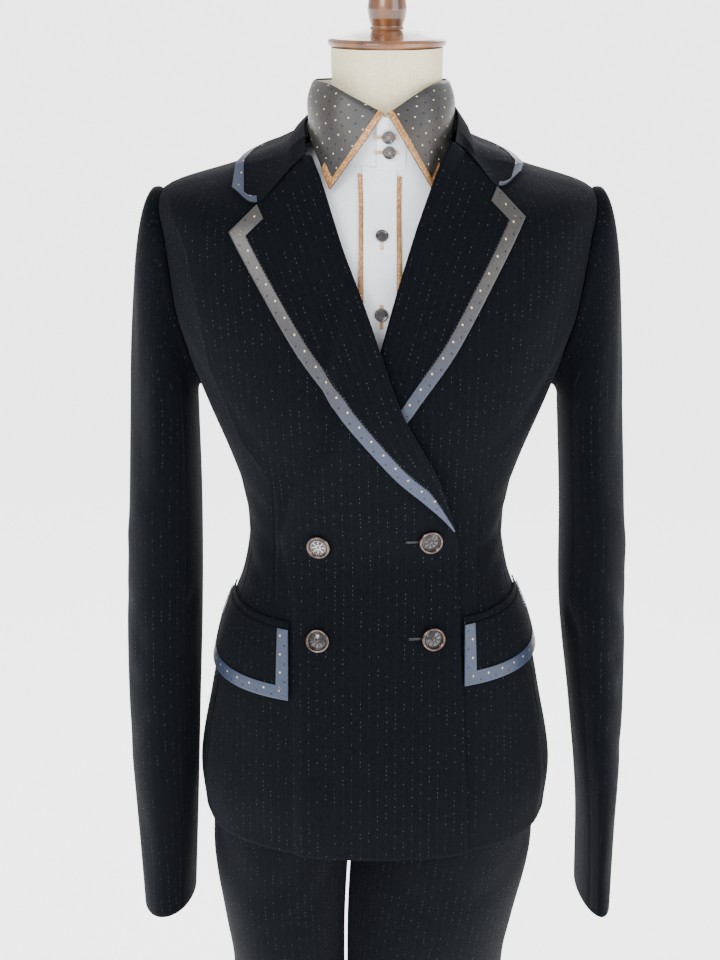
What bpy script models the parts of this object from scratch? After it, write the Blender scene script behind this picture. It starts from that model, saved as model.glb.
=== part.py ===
"""Showmanship suit on a dress form: jacket, trousers and shirt as sewn pieces.

Metres, +Z up, the front of the suit faces -Y. The origin is the middle of the underside of the
form's base. Every cloth piece is a closed wall, worked out from the ring tables below. Side -1 is
the wearer's right and side +1 the wearer's left. An angle around the body is 0 at the side line,
90 at centre front and -90 at centre back.
"""
import math

import bpy
import numpy as np

# ---- driving dimensions -------------------------------------------------------------------
SEAM = 0.0003            # space left between two pieces that meet at a seam
CLOTH = 0.0020           # suiting wall
FINE = 0.0012            # shirting wall
LEAF = 0.0016            # wall of a turned lapel or collar
BAND = 0.0010            # dotted satin band
LIFT = 0.0004            # space under a piece that lies on another
SEAM_TURN = 0.085        # the same seam space as an angle on the torso, degrees

WAIST_Z = 1.060          # top of the trousers
CROTCH_Z = 0.765
FORK_Z = 0.850           # where the trouser legs begin to part
TROUSER_HEM_Z = 0.046
BREAK_Z = 1.085          # lapels turn back above this height
VEE_Z = 1.272            # the two lapels cross here
POCKET_TOP_Z = 1.003
FLAP_DEPTH = 0.062
WELT_DEPTH = 0.006
SATIN_WIDTH = 0.0110

BASE_RADIUS = 0.180
BASE_HEIGHT = 0.030
POLE_RADIUS = 0.0125
NECK_LEAN = 0.0085       # the neck stands this far towards the wearer's left

# ---- ring tables --------------------------------------------------------------------------
# columns: half the width, height at the side, depth and height at the front, depth and height at
# the back, shift across

JACKET_RINGS = (
    (0.1650, 0.790, 0.129, 0.790, 0.132, 0.790, 0.000),   # hem
    (0.1685, 0.840, 0.130, 0.840, 0.134, 0.840, 0.000),   # seat
    (0.1570, 0.906, 0.125, 0.906, 0.126, 0.906, 0.000),   # hip
    (0.1430, 0.975, 0.116, 0.975, 0.111, 0.975, 0.000),   # pocket
    (0.1235, 1.030, 0.107, 1.030, 0.094, 1.030, 0.000),   # above the pocket
    (0.1180, 1.080, 0.103, 1.080, 0.086, 1.080, 0.000),   # waist
    (0.1290, 1.135, 0.112, 1.135, 0.092, 1.135, 0.000),   # ribs
    (0.1560, 1.205, 0.126, 1.205, 0.104, 1.205, 0.000),   # armpit
    (0.1850, 1.285, 0.121, 1.268, 0.110, 1.285, 0.000),   # chest
    (0.1940, 1.345, 0.109, 1.318, 0.106, 1.345, 0.001),   # upper chest
    (0.1880, 1.383, 0.099, 1.345, 0.098, 1.380, 0.001),   # shoulder tip
    (0.1300, 1.401, 0.088, 1.366, 0.084, 1.415, 0.002),   # mid shoulder
    (0.0760, 1.421, 0.080, 1.384, 0.071, 1.443, 0.003),   # neck seam
)
ARMPIT_ROW = 7
TIP_ROW = 10
NECK_ROW = 12
ARMHOLE_TURN = 24.0      # half the armhole's width, as an angle around the body

FORM_RINGS = (
    (0.1340, 0.860, 0.098, 0.860, 0.102, 0.860, 0.000),   # lower end
    (0.1400, 0.900, 0.102, 0.900, 0.107, 0.900, 0.000),   # hip
    (0.1270, 0.985, 0.094, 0.985, 0.092, 0.985, 0.000),   # high hip
    (0.1020, 1.070, 0.084, 1.070, 0.069, 1.070, 0.000),   # waist
    (0.1080, 1.125, 0.092, 1.125, 0.074, 1.125, 0.000),   # ribs
    (0.1320, 1.200, 0.107, 1.200, 0.084, 1.200, 0.000),   # bust
    (0.1560, 1.280, 0.101, 1.265, 0.088, 1.280, 0.000),   # chest
    (0.1680, 1.370, 0.086, 1.333, 0.078, 1.364, 0.001),   # shoulder
    (0.1120, 1.400, 0.072, 1.362, 0.064, 1.402, 0.003),   # mid shoulder
    (0.0640, 1.416, 0.059, 1.388, 0.054, 1.430, 0.006),   # foot of the neck
    (0.0485, 1.442, 0.049, 1.440, 0.048, 1.448, 0.0085),  # neck
    (0.0480, 1.503, 0.048, 1.503, 0.048, 1.503, 0.0085),  # top of the neck
)

SLEEVE_COLUMNS = ("z", "right_out", "right_in", "left_out", "left_in", "depth", "ahead", "turn")
SLEEVE_RINGS = (
    (1.190, 0.2240, 0.1625, 0.2245, 0.1660, 0.063, -0.004, 0.0),    # biceps
    (1.093, 0.2285, 0.1615, 0.2300, 0.1710, 0.061, 0.000, 0.0),     # above the elbow
    (0.993, 0.2335, 0.1635, 0.2345, 0.1740, 0.059, 0.006, 1.0),     # elbow
    (0.889, 0.2350, 0.1685, 0.2360, 0.1870, 0.056, 0.008, 3.0),     # forearm
    (0.780, 0.2320, 0.1740, 0.2340, 0.1990, 0.053, 0.006, 4.0),     # wrist
    (0.679, 0.2290, 0.1800, 0.2330, 0.2030, 0.051, 0.000, 5.0),    # cuff
)

TROUSER_COLUMNS = ("z", "right_out", "left_out", "front", "back", "cleft", "leg_shift")
TROUSER_RINGS = (
    (0.046, 0.1400, 0.1270, 0.074, 0.080, -0.0290, 0.004),   # hem
    (0.280, 0.1390, 0.1260, 0.070, 0.076, -0.0290, 0.000),   # shin
    (0.480, 0.1390, 0.1270, 0.074, 0.078, -0.0290, -0.004),  # knee
    (0.611, 0.1430, 0.1300, 0.084, 0.086, -0.0290, -0.004),  # lower thigh
    (0.667, 0.1500, 0.1390, 0.090, 0.094, -0.0280, 0.000),   # thigh
    (0.735, 0.1585, 0.1530, 0.100, 0.101, -0.0240, 0.000),   # top of the thigh
    (0.789, 0.1575, 0.1555, 0.107, 0.108, -0.0180, 0.000),   # seat
    (0.850, 0.1580, 0.1580, 0.111, 0.115, -0.0080, 0.000),   # fork
    (0.906, 0.1490, 0.1490, 0.111, 0.116, 0.0000, 0.000),    # hip
    (0.975, 0.1350, 0.1350, 0.103, 0.102, 0.0000, 0.000),    # high hip
    (1.060, 0.1115, 0.1115, 0.0940, 0.0795, 0.0000, 0.000),  # waist
)

# ---- outlines seen from the front: (across, height) in metres --------------------------------
ROLL_LINE = ((0.0700, 1.085), (0.0490, 1.150), (0.0225, 1.210), (0.0015, VEE_Z), (-0.0150, 1.316),
             (-0.0450, 1.388), (-0.0570, 1.4142))
LAPEL_EDGE = ((0.0700, 1.085), (0.0480, 1.121), (0.0200, 1.149), (-0.0010, 1.178),
              (-0.0350, 1.220), (-0.0675, 1.262), (-0.1235, 1.3565))
FRONT_EDGE = ((0.0830, 0.790), (0.0810, 0.860), (0.0765, 0.950), (0.0730, 1.010), (0.0700, 1.085))
UNDER_EDGE = ((0.0640, 0.790), (0.0640, 1.010), (0.0700, 1.085))

# ---- collars: a row for each station, from the front end round to centre back -----------------
COLLAR_COLUMNS = ("fold_x", "fold_y", "fold_z", "edge_turn", "edge_row", "swell")
JACKET_COLLAR = (
    (0.0600, -0.0690, 1.4200, 48.0, 11.0, 0.004),    # gorge
    (0.0655, -0.0350, 1.4340, 13.0, 11.20, 0.005),   # over the collar bone
    (0.0670, 0.0020, 1.4470, 0.0, 11.50, 0.005),     # shoulder line
    (0.0530, 0.0490, 1.4620, -45.0, 11.40, 0.006),   # behind the shoulder
    (0.0000, 0.0740, 1.4700, -90.0, 11.30, 0.006),   # centre back
)
SHIRT_COLLAR_COLUMNS = ("fold_x", "fold_y", "fold_z", "edge_x", "edge_y", "edge_z")
SHIRT_COLLAR = (
    (0.0035, -0.0635, 1.4530, 0.0415, -0.0656, 1.3930),   # front edge, down to the tip
    (0.0390, -0.0500, 1.4625, 0.0545, -0.0450, 1.4180),   # over the collar bone
    (0.0570, 0.0000, 1.4740, 0.0620, -0.0010, 1.4400),    # side
    (0.0420, 0.0420, 1.4810, 0.0465, 0.0460, 1.4440),     # behind the side
    (0.0000, 0.0595, 1.4850, 0.0000, 0.0640, 1.4470),     # centre back
)

# ---- buttons ---------------------------------------------------------------------------------
JACKET_BUTTON_X = 0.050
JACKET_BUTTON_ROWS = (1.0935, 1.0050)
JACKET_BUTTON_RADIUS = 0.0108
SHIRT_BUTTON_RADIUS = 0.0055
SHIRT_BUTTONS = ((0.0066, 1.4337), (0.0075, 1.4209), (0.0036, 1.3590), (0.0030, 1.2907))
STAND_FOOT_Z = 1.405      # the shirt's collar stand begins above this height
STRIPE_X = (-0.0138, 0.0182)
STRIPE_WIDTH = 0.0035
SHIRT_SHIFT = 0.0035

# ---- finishes: colour, roughness, metallic ---------------------------------------------------
FINISHES = {
    "suiting": ((0.012, 0.014, 0.019), 0.85, 0.0),
    "satin": ((0.20, 0.21, 0.25), 0.40, 0.0),
    "shirting": ((0.86, 0.87, 0.90), 0.75, 0.0),
    "collar_satin": ((0.19, 0.17, 0.155), 0.40, 0.0),
    "piping": ((0.60, 0.36, 0.18), 0.45, 0.3),
    "button_metal": ((0.30, 0.22, 0.19), 0.25, 1.0),
    "button_smoke": ((0.08, 0.07, 0.08), 0.20, 0.0),
    "linen": ((0.83, 0.80, 0.70), 0.85, 0.0),
    "wood": ((0.33, 0.14, 0.05), 0.30, 0.0),
}


def column_of(table, value, columns, name):
    """One column of a table, read smoothly at a value of its first column."""
    keys = [row[0] for row in table]
    place = columns.index(name)
    return smooth_read(keys, [row[place] for row in table], value)


def smooth_read(keys, values, at):
    """A smooth curve through values at rising keys (Catmull-Rom slopes), read at a place."""
    keys = np.asarray(keys, dtype=float)
    values = np.asarray(values, dtype=float)
    at = min(max(at, keys[0]), keys[-1])
    i = int(min(np.searchsorted(keys, at, side="right") - 1, len(keys) - 2))
    step = keys[i + 1] - keys[i]
    t = (at - keys[i]) / step
    before, after = max(i - 1, 0), min(i + 2, len(keys) - 1)
    slope_a = (values[i + 1] - values[before]) / (keys[i + 1] - keys[before]) * step
    slope_b = (values[after] - values[i]) / (keys[after] - keys[i]) * step
    return ((1 + 2 * t) * (1 - t) ** 2 * values[i] + t * (1 - t) ** 2 * slope_a
            + t * t * (3 - 2 * t) * values[i + 1] + t * t * (t - 1) * slope_b)


def smoothstep(low, high, value):
    """0 at low, 1 at high, level beyond them and an even S between."""
    t = min(max((value - low) / (high - low), 0.0), 1.0)
    return t * t * (3 - 2 * t)


def path_at(points, share):
    """A point at a share of the length of a smooth curve through points."""
    points = np.asarray(points, dtype=float)
    steps = np.linalg.norm(np.diff(points, axis=0), axis=1)
    keys = np.concatenate(([0.0], np.cumsum(steps))) / steps.sum()
    return np.array([smooth_read(keys, points[:, k], share) for k in range(points.shape[1])])


def across_at(outline, height):
    """How far across a rising outline is at a height."""
    return smooth_read([p[1] for p in outline], [p[0] for p in outline], height)


# ---- the torso surfaces ------------------------------------------------------------------
def ring_point(rings, side, turn, row):
    """The point of a ringed surface at an angle from the side line and a row of its table."""
    keys = range(len(rings))
    half, side_z, front, front_z, back, back_z, shift = (
        smooth_read(keys, column, row) for column in zip(*rings))
    turn = math.radians(turn)
    depth, end_z = (front, front_z) if turn >= 0 else (back, back_z)
    rise = math.sin(turn) ** 2
    square = 1 + 0.05 * math.sin(2 * turn) ** 2
    return np.array((side * half * math.cos(turn) * square + shift,
                     -depth * math.sin(turn) * square,
                     side_z + (end_z - side_z) * rise))


def ring_normal(rings, side, turn, row):
    """The outward direction of a ringed surface."""
    along = ring_point(rings, side, turn + 1.5, row) - ring_point(rings, side, turn - 1.5, row)
    last = len(rings) - 1
    up = (ring_point(rings, side, turn, min(row + 0.08, last))
          - ring_point(rings, side, turn, max(row - 0.08, 0)))
    normal = np.cross(along, up) * -side
    return normal / np.linalg.norm(normal)


def lifted(rings, side, turn, row, lift):
    """A point of a ringed surface moved out along its normal."""
    return ring_point(rings, side, turn, row) + ring_normal(rings, side, turn, row) * lift


def locate(rings, side, across, height):
    """The angle and row at which the front of a ringed surface has an (across, height)."""
    last = len(rings) - 1
    low, high = 4.0, 176.0
    for _ in range(30):
        turn = (low + high) / 2
        if side * (ring_point(rings, side, turn, last)[0] - across) > 0:
            low = turn
        else:
            high = turn
    if ring_point(rings, side, turn, last)[2] <= height and 5.0 < turn < 175.0:
        return turn, float(last)
    turn, row = 60.0, 0.45 * len(rings)
    for _ in range(24):
        here = ring_point(rings, side, turn, row)
        error = np.array((across - here[0], height - here[2]))
        if abs(error).max() < 1e-6:
            break
        by_turn = (ring_point(rings, side, turn + 0.5, row) - here) / 0.5
        nudge = 0.02 if row < last - 0.03 else -0.02
        by_row = (ring_point(rings, side, turn, row + nudge) - here) / nudge
        slope = np.array(((by_turn[0], by_row[0]), (by_turn[2], by_row[2])))
        step = np.linalg.lstsq(slope, error, rcond=None)[0]
        turn = min(max(turn + max(-25.0, min(25.0, step[0])), 4.0), 176.0)
        row = min(max(row + max(-1.5, min(1.5, step[1])), 0.0), float(last))
    return turn, row


# ---- walls ---------------------------------------------------------------------------------
def wall_mesh(points, normals, low, high, keep=None):
    """A closed wall over the kept cells of a grid of points, from low to high along its normals."""
    rows, columns = points.shape[:2]
    low = np.broadcast_to(np.asarray(low, dtype=float), (rows, columns))
    high = np.broadcast_to(np.asarray(high, dtype=float), (rows, columns))
    keep = keep or (lambda i, j: True)
    cells = [(i, j) for i in range(rows - 1) for j in range(columns - 1) if keep(i, j)]
    index = {}
    verts = []
    for i, j in sorted({(i + a, j + b) for i, j in cells for a in (0, 1) for b in (0, 1)}):
        index[i, j] = len(verts)
        verts.append(points[i, j] + normals[i, j] * high[i, j])
        verts.append(points[i, j] + normals[i, j] * low[i, j])
    faces = []
    rim = {}
    for i, j in cells:
        ring = [index[i, j], index[i, j + 1], index[i + 1, j + 1], index[i + 1, j]]
        for a, b, c in ((0, 1, 2), (0, 2, 3)):
            faces.append((ring[a], ring[b], ring[c]))
            faces.append((ring[c] + 1, ring[b] + 1, ring[a] + 1))
        for k in range(4):
            edge = (ring[k], ring[(k + 1) % 4])
            if edge[::-1] in rim:
                del rim[edge[::-1]]
            else:
                rim[edge] = True
    for a, b in rim:
        faces.append((b, a, a + 1))
        faces.append((b, a + 1, b + 1))
    return verts, faces


def signed_volume(verts, faces):
    """The volume that triangles enclose, below zero where they point in."""
    v = np.asarray(verts)
    return sum(np.dot(v[a], np.cross(v[b], v[c])) for a, b, c in faces) / 6


def add_object(name, verts, faces, finish, smooth=True):
    """A named object with its own material, its faces turned outwards."""
    if signed_volume(verts, faces) < 0:
        faces = [tuple(reversed(face)) for face in faces]
    mesh = bpy.data.meshes.new(name)
    mesh.from_pydata([tuple(float(c) for c in v) for v in verts], [], faces)
    mesh.update()
    if smooth:
        mesh.shade_smooth()
        mesh.set_sharp_from_angle(angle=math.radians(40))
    item = bpy.data.objects.new(name, mesh)
    bpy.context.scene.collection.objects.link(item)
    colour, roughness, metallic = FINISHES[finish]
    material = bpy.data.materials.new(name)
    material.use_nodes = True
    shader = material.node_tree.nodes["Principled BSDF"]
    shader.inputs["Base Color"].default_value = (*colour, 1.0)
    shader.inputs["Roughness"].default_value = roughness
    shader.inputs["Metallic"].default_value = metallic
    mesh.materials.append(material)
    return item


def add_wall(name, points, normals, low, high, finish, keep=None):
    """A cloth piece from a grid of points."""
    verts, faces = wall_mesh(points, normals, low, high, keep)
    return add_object(name, verts, faces, finish)


def grid_normals(points, inside):
    """The directions away from a point inside, square to a grid of points."""
    along = np.gradient(points, axis=0)
    across = np.gradient(points, axis=1)
    normals = np.cross(along, across)
    normals /= np.linalg.norm(normals, axis=2, keepdims=True)
    if np.sum(normals * (points - np.asarray(inside))) < 0:
        normals = -normals
    return normals


def turned(name, profile, finish, middle=(0.0, 0.0), sides=24):
    """A closed solid turned about a vertical line, from a profile of (radius, height) pairs."""
    verts = []
    faces = []
    rings = []
    for radius, height in profile:
        if radius == 0:
            rings.append([len(verts)] * sides)
            verts.append((middle[0], middle[1], height))
            continue
        rings.append([len(verts) + k for k in range(sides)])
        for k in range(sides):
            angle = 2 * math.pi * k / sides
            verts.append((middle[0] + radius * math.cos(angle),
                          middle[1] + radius * math.sin(angle), height))
    for low, high in zip(rings, rings[1:]):
        for k in range(sides):
            n = (k + 1) % sides
            if low[k] != low[n]:
                faces.append((low[k], low[n], high[k]))
            if high[k] != high[n]:
                faces.append((low[n], high[n], high[k]))
    return add_object(name, verts, faces, finish)


# ---- jacket body ---------------------------------------------------------------------------
BODY_STEPS = 12          # rows from the hem to the foot of the armhole
ARMHOLE_STEP = 22.5      # the armhole is drawn in sixteenths of its round
SEAM_LOW_TURN = 20.0     # front seam of the side panel at the hem, degrees from the side line
BACK_LOW_TURN = 28.0     # back seam of the side panel at the hem
OVERLAP_LIFT = 0.0034    # the over front stands this far off the under front's line
LAPEL_ROOM = 0.0054      # and this much more where the under lapel lies between them
LEFT_LAPEL_RISE = 0.011  # the wearer's left lapel sits this much higher
RAMP_START = (0.0135, 0.0065, 0.0100)   # the over front's rise starts this far beyond the under
RAMP_END = (0.0045, 0.0015, 0.0100)     # front's edge and ends here: low, more above, more at the vee


def armhole(clock):
    """The (angle, row) of the armhole at a clock angle: 0 shoulder, 90 front, 180 armpit."""
    clock = math.radians(clock)
    row = ARMPIT_ROW + (TIP_ROW - ARMPIT_ROW) * (1 + math.cos(clock)) / 2
    return ARMHOLE_TURN * math.sin(clock), row


def side_seam_turn(row, low_turn):
    """The angle of a seam of the side panel at a row, from the hem up to the armhole."""
    top_turn, top_row = armhole(135)
    return low_turn + (top_turn - low_turn) * min(row / top_row, 1.0)


def body_rows():
    """Rows of a front or back, each with its armhole clock angle or None."""
    top_row = armhole(135)[1]
    rows = [(k * top_row / BODY_STEPS, None) for k in range(BODY_STEPS + 1)]
    for clock in np.arange(135 - ARMHOLE_STEP, -1, -ARMHOLE_STEP):
        rows.append((armhole(clock)[1], clock))
    rows += [(TIP_ROW + k * (NECK_ROW - TIP_ROW) / 4, 0.0) for k in range(1, 5)]
    return rows


def turn_on_outline(side, row, outline):
    """The angle at which a row crosses an outline seen from the front."""
    low, high = 1.0, 179.0
    for _ in range(40):
        middle = (low + high) / 2
        point = ring_point(JACKET_RINGS, side, middle, row)
        if -side * point[0] < outline(point[2]):
            low = middle
        else:
            high = middle
    return low


def closure(side):
    """The outline of a front's free edge and roll line, as a function of height."""
    edge = FRONT_EDGE if side < 0 else UNDER_EDGE
    rise = 0.0 if side < 0 else LEFT_LAPEL_RISE

    def outline(height):
        if height <= BREAK_Z:
            return across_at(edge, height)
        return across_at(ROLL_LINE, height - rise * smoothstep(1.20, 1.40, height))
    return outline


def under_limit(height):
    """How far the under front reaches towards the wearer's right."""
    return -closure(1)(height)


def over_lift(point):
    """How far the over front stands out, over the under front and its lapel."""
    limit = under_limit(point[2])
    room = OVERLAP_LIFT + LAPEL_ROOM * smoothstep(BREAK_Z - 0.025, BREAK_Z + 0.025, point[2])
    start, full = ramp_reach(point[2])
    return room * smoothstep(limit - start, limit - full, point[0])


def ramp_reach(height):
    """How far beyond the under front's edge the over front starts and ends its rise."""
    high = smoothstep(1.030, 1.090, height)
    top = smoothstep(VEE_Z - 0.060, VEE_Z - 0.010, height)
    return tuple(low + more * high + most * top for low, more, most in (RAMP_START, RAMP_END))


def front_grid(side):
    """Points and normals of a front, from its side seam to its free edge and roll line."""
    outline = closure(side)
    points, normals = [], []
    for row, clock in body_rows():
        if clock is None:
            start = side_seam_turn(row, SEAM_LOW_TURN)
        else:
            start = ARMHOLE_TURN * math.sin(math.radians(clock))
        start += SEAM_TURN
        end = turn_on_outline(side, row, outline)
        middle = ring_point(JACKET_RINGS, side, (start + end) / 2, row)
        stops = list(np.linspace(start, end, 12))
        if side < 0:
            ramp = [turn_on_outline(side, row, lambda z, k=k: under_limit(z) - ramp_reach(z)[k])
                    for k in (0, 1)]
            high = smoothstep(VEE_Z + 0.030, VEE_Z + 0.090, middle[2])
            most = [start + (end - start) * share for share in (0.90 - 0.4 * high,
                                                                0.955 - 0.355 * high)]
            ramp = [min(ramp[k], most[k]) for k in (0, 1)]
            stops = list(np.linspace(start, ramp[0], 7)) + list(np.linspace(ramp[1], end, 6))
        line = [ring_point(JACKET_RINGS, side, turn, row) for turn in stops]
        out = [ring_normal(JACKET_RINGS, side, turn, row) for turn in stops]
        if side < 0:
            line = [p + n * over_lift(p) for p, n in zip(line, out)]
        points.append(line)
        normals.append(out)
    return np.array(points), np.array(normals)


def back_grid(side):
    """Points and normals of a back, from its side seam to the centre seam."""
    points, normals = [], []
    for row, clock in body_rows():
        if clock is None:
            start = side_seam_turn(row, BACK_LOW_TURN)
        else:
            start = ARMHOLE_TURN * math.sin(math.radians(clock))
        stops = np.linspace(start + SEAM_TURN, 90 - SEAM_TURN, 8)
        points.append([ring_point(JACKET_RINGS, side, -turn, row) for turn in stops])
        normals.append([ring_normal(JACKET_RINGS, side, -turn, row) for turn in stops])
    return np.array(points), np.array(normals)


def side_grid(side):
    """Points and normals of a side panel, from the hem up to the foot of the armhole."""
    points, normals = [], []
    for share in np.linspace(0, 1, BODY_STEPS + 1):
        line, out = [], []
        for clock in (135, 157.5, 180, 202.5, 225):
            top_turn, top_row = armhole(clock)
            low = SEAM_LOW_TURN if clock < 180 else BACK_LOW_TURN
            low_turn = low * top_turn / armhole(135)[0]
            turn = low_turn + (top_turn - low_turn) * share * top_row / armhole(135)[1]
            if share == 1:
                turn = top_turn
            turn -= SEAM_TURN * (clock == 135) - SEAM_TURN * (clock == 225)
            line.append(ring_point(JACKET_RINGS, side, turn, top_row * share))
            out.append(ring_normal(JACKET_RINGS, side, turn, top_row * share))
        points.append(line)
        normals.append(out)
    return np.array(points), np.array(normals)


def make_body():
    """The fronts, side panels and backs of the jacket."""
    for side, word in ((-1, "right"), (1, "left")):
        for name, grid in (("front", front_grid), ("back", back_grid), ("side_panel", side_grid)):
            points, normals = grid(side)
            add_wall(f"jacket_{word}_{name}", points, normals, -CLOTH, 0.0, "suiting")


# ---- lapels ----------------------------------------------------------------------------------
LAPEL_START = 0.100      # share of the lapel's length at which it leaves the front's edge
# the turn of the fold: how far across the lapel, and how far off the front
FOLD_ROUND = ((-0.0014, -0.0006), (-0.0032, 0.0021), (-0.0020, 0.0044), (0.0012, 0.0053))
ROLL_HEIGHT = 0.0029     # how far the lapel stands off near its fold, over its edge
EDGE_HEIGHT = 0.0024
ROLL_REACH = 0.022
LAPEL_LEAD = 0.018       # the over lapel starts to rise this far before its front does
COVERED_Z = 1.175        # below this the over front covers the left lapel's edge
NOTCH_REACH = 0.0320     # the top edge from the notch to the tip


def rise_of(side, height):
    """How much higher a point of a lapel sits on this side."""
    return LEFT_LAPEL_RISE * smoothstep(1.20, 1.36, height) if side > 0 else 0.0


def lapel_point(side, start, end, across, height):
    """A point of a lapel, at a distance from its fold and a height off the front."""
    heading = (end - start) / np.linalg.norm(end - start)
    flat = start + heading * across
    place = np.array((flat[0] * -side, flat[1] + rise_of(side, flat[1])))
    turn, row = locate(JACKET_RINGS, side, place[0], place[1])
    seat = ring_point(JACKET_RINGS, side, turn, row)
    normal = ring_normal(JACKET_RINGS, side, turn, row)
    seat = np.array((place[0], seat[1], place[1]))
    lead = LAPEL_LEAD * smoothstep(VEE_Z + 0.080, VEE_Z + 0.035, seat[2])
    base = over_lift(seat + np.array((lead, 0.0, 0.0))) if side < 0 else 0.0
    return seat + normal * (base + height)


def pressed(side, height):
    """How flat the under lapel is pressed where the over front covers it."""
    return smoothstep(1.262, 1.330, height) if side > 0 else 1.0


def lapel_shares():
    """The rows of a lapel, with the last but one a band's width below its top edge."""
    return [LAPEL_START + (0.967 - LAPEL_START) * k / 14 for k in range(15)] + [1.0]


def lapel_stops(width, share):
    """How far from the fold each column of a lapel's flat part lies."""
    edge = width - min(SATIN_WIDTH, 0.55 * width)
    notch = max(0.006 + (edge - 0.006) * 0.6, 0.0)
    if share > 0.9:
        notch = width - NOTCH_REACH
    first = min(0.006, 0.4 * width)
    return [first, (first + notch) / 2, max(notch, first + 0.3 * (edge - first)), edge, width]


def lapel_grid(side):
    """Points and normals of a lapel, from the break to the gorge and from fold to edge."""
    points = []
    for share in lapel_shares():
        start, end = path_at(ROLL_LINE, share), path_at(LAPEL_EDGE, share)
        width = np.linalg.norm(end - start)
        flat = pressed(side, (start[1] + end[1]) / 2)
        shrink = min(1.0, width / 0.030)
        line = []
        for across, height in FOLD_ROUND:
            tall = height * (0.45 + 0.55 * flat) * shrink
            line.append(lapel_point(side, start, end, across * shrink, tall))
        for across in lapel_stops(width, share):
            soft = math.exp(-(across / ROLL_REACH) ** 2)
            tall = EDGE_HEIGHT + ROLL_HEIGHT * soft * flat * shrink
            line.append(lapel_point(side, start, end, across, tall))
        points.append(line)
    points = np.array(points)
    return points, grid_normals(points, (0.0, 0.4, 1.25))


def make_lapels():
    """Both lapels and the dotted band along their edges."""
    for side, word in ((-1, "right"), (1, "left")):
        points, normals = lapel_grid(side)
        add_wall(f"jacket_{word}_lapel", points, normals, -LEAF / 2, LEAF / 2, "suiting")
        rows, columns = points.shape[:2]
        low = LEAF / 2 + LIFT

        def on_band(i, j):
            hidden = side > 0 and points[i, -1, 2] < COVERED_Z
            edge = j == columns - 2
            top = i == rows - 2 and j >= columns - 3
            return (edge or top) and not hidden
        add_wall(f"{word}_lapel_band", points, normals, low, low + BAND, "satin", on_band)


# ---- jacket collar ---------------------------------------------------------------------------
COLLAR_SHARES = (0.0, 0.07, 0.30, 0.58, 0.79, 1.0)
COLLAR_STATIONS = (0.0, 0.24, 0.6, 1.0, 1.5, 2.0, 2.5, 3.0, 3.5, 4.0)
GORGE_GAP = 0.0018
COLLAR_TIP = (0.1225, 1.3870)
FALL_LIFT = 0.0036       # the fall's edge stands this far off the shoulders
TIP_LIFT = 0.0034
UPPER_SHARE = (0.36, 0.8)     # the fall's upper point: share down it, and share of its swell
LOWER_SHARE = (0.72, 0.35)
GORGE_POINTS = ((0.0016, 0.0050), (0.024, 0.0040))   # across and height over the lapel's top edge
STAND_DROP = 0.0016      # the stand's foot clears the neck seam by this
STAND_INSET = (0.0022, 0.0010)   # its top lies this far inside and below the fold


def collar_controls(side, station):
    """Fold, upper, lower and edge points of the jacket collar at a station of its table."""
    columns = dict(zip(COLLAR_COLUMNS, zip(*JACKET_COLLAR)))
    keys = range(len(JACKET_COLLAR))

    def read(name):
        return smooth_read(keys, columns[name], station)
    rise = LEFT_LAPEL_RISE * max(1 - station / 2, 0.0) if side > 0 else 0.0
    fold = np.array((side * read("fold_x") + SHIRT_SHIFT, read("fold_y"), read("fold_z") + rise / 2))
    edge = lifted(JACKET_RINGS, side, read("edge_turn"), read("edge_row"), FALL_LIFT)
    swell = np.array((0.0, 0.0, read("swell")))
    upper = fold + (edge - fold) * UPPER_SHARE[0] + swell * UPPER_SHARE[1]
    lower = fold + (edge - fold) * LOWER_SHARE[0] + swell * LOWER_SHARE[1]
    if station >= 1:
        return fold, upper, lower, edge
    start, end = path_at(ROLL_LINE, 1.0), path_at(LAPEL_EDGE, 1.0)
    width = np.linalg.norm(end - start)
    off = np.array((0.0, 0.0, GORGE_GAP))
    gorge = [lapel_point(side, start, end, across, height) + off
             for across, height in (*GORGE_POINTS, (width - NOTCH_REACH + 0.001, EDGE_HEIGHT))]
    rise = LEFT_LAPEL_RISE if side > 0 else 0.0
    turn, row = locate(JACKET_RINGS, side, side * COLLAR_TIP[0], COLLAR_TIP[1] + rise)
    front = (*gorge, lifted(JACKET_RINGS, side, turn, row, TIP_LIFT))
    mix = smoothstep(0.0, 1.0, station)
    rest = collar_controls(side, 1.0)
    return tuple(a * (1 - mix) + b * mix for a, b in zip(front, rest))


def collar_line(controls):
    """The points of a collar from its fold to its edge, through four control points."""
    fold, upper, lower, edge = controls
    keys = (0.0, 0.30, 0.58, 1.0)
    line = []
    for share in COLLAR_SHARES:
        line.append([smooth_read(keys, [c[k] for c in (fold, upper, lower, edge)], share)
                     for k in range(3)])
    return line


def collar_grid():
    """Points and normals of the whole jacket collar, right front end to left front end."""
    right = [collar_line(collar_controls(-1, s)) for s in COLLAR_STATIONS]
    left = [collar_line(collar_controls(1, s)) for s in COLLAR_STATIONS]
    points = np.array(right + left[-2::-1])
    return points, grid_normals(points, (0.0, 0.0, 1.36))


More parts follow.
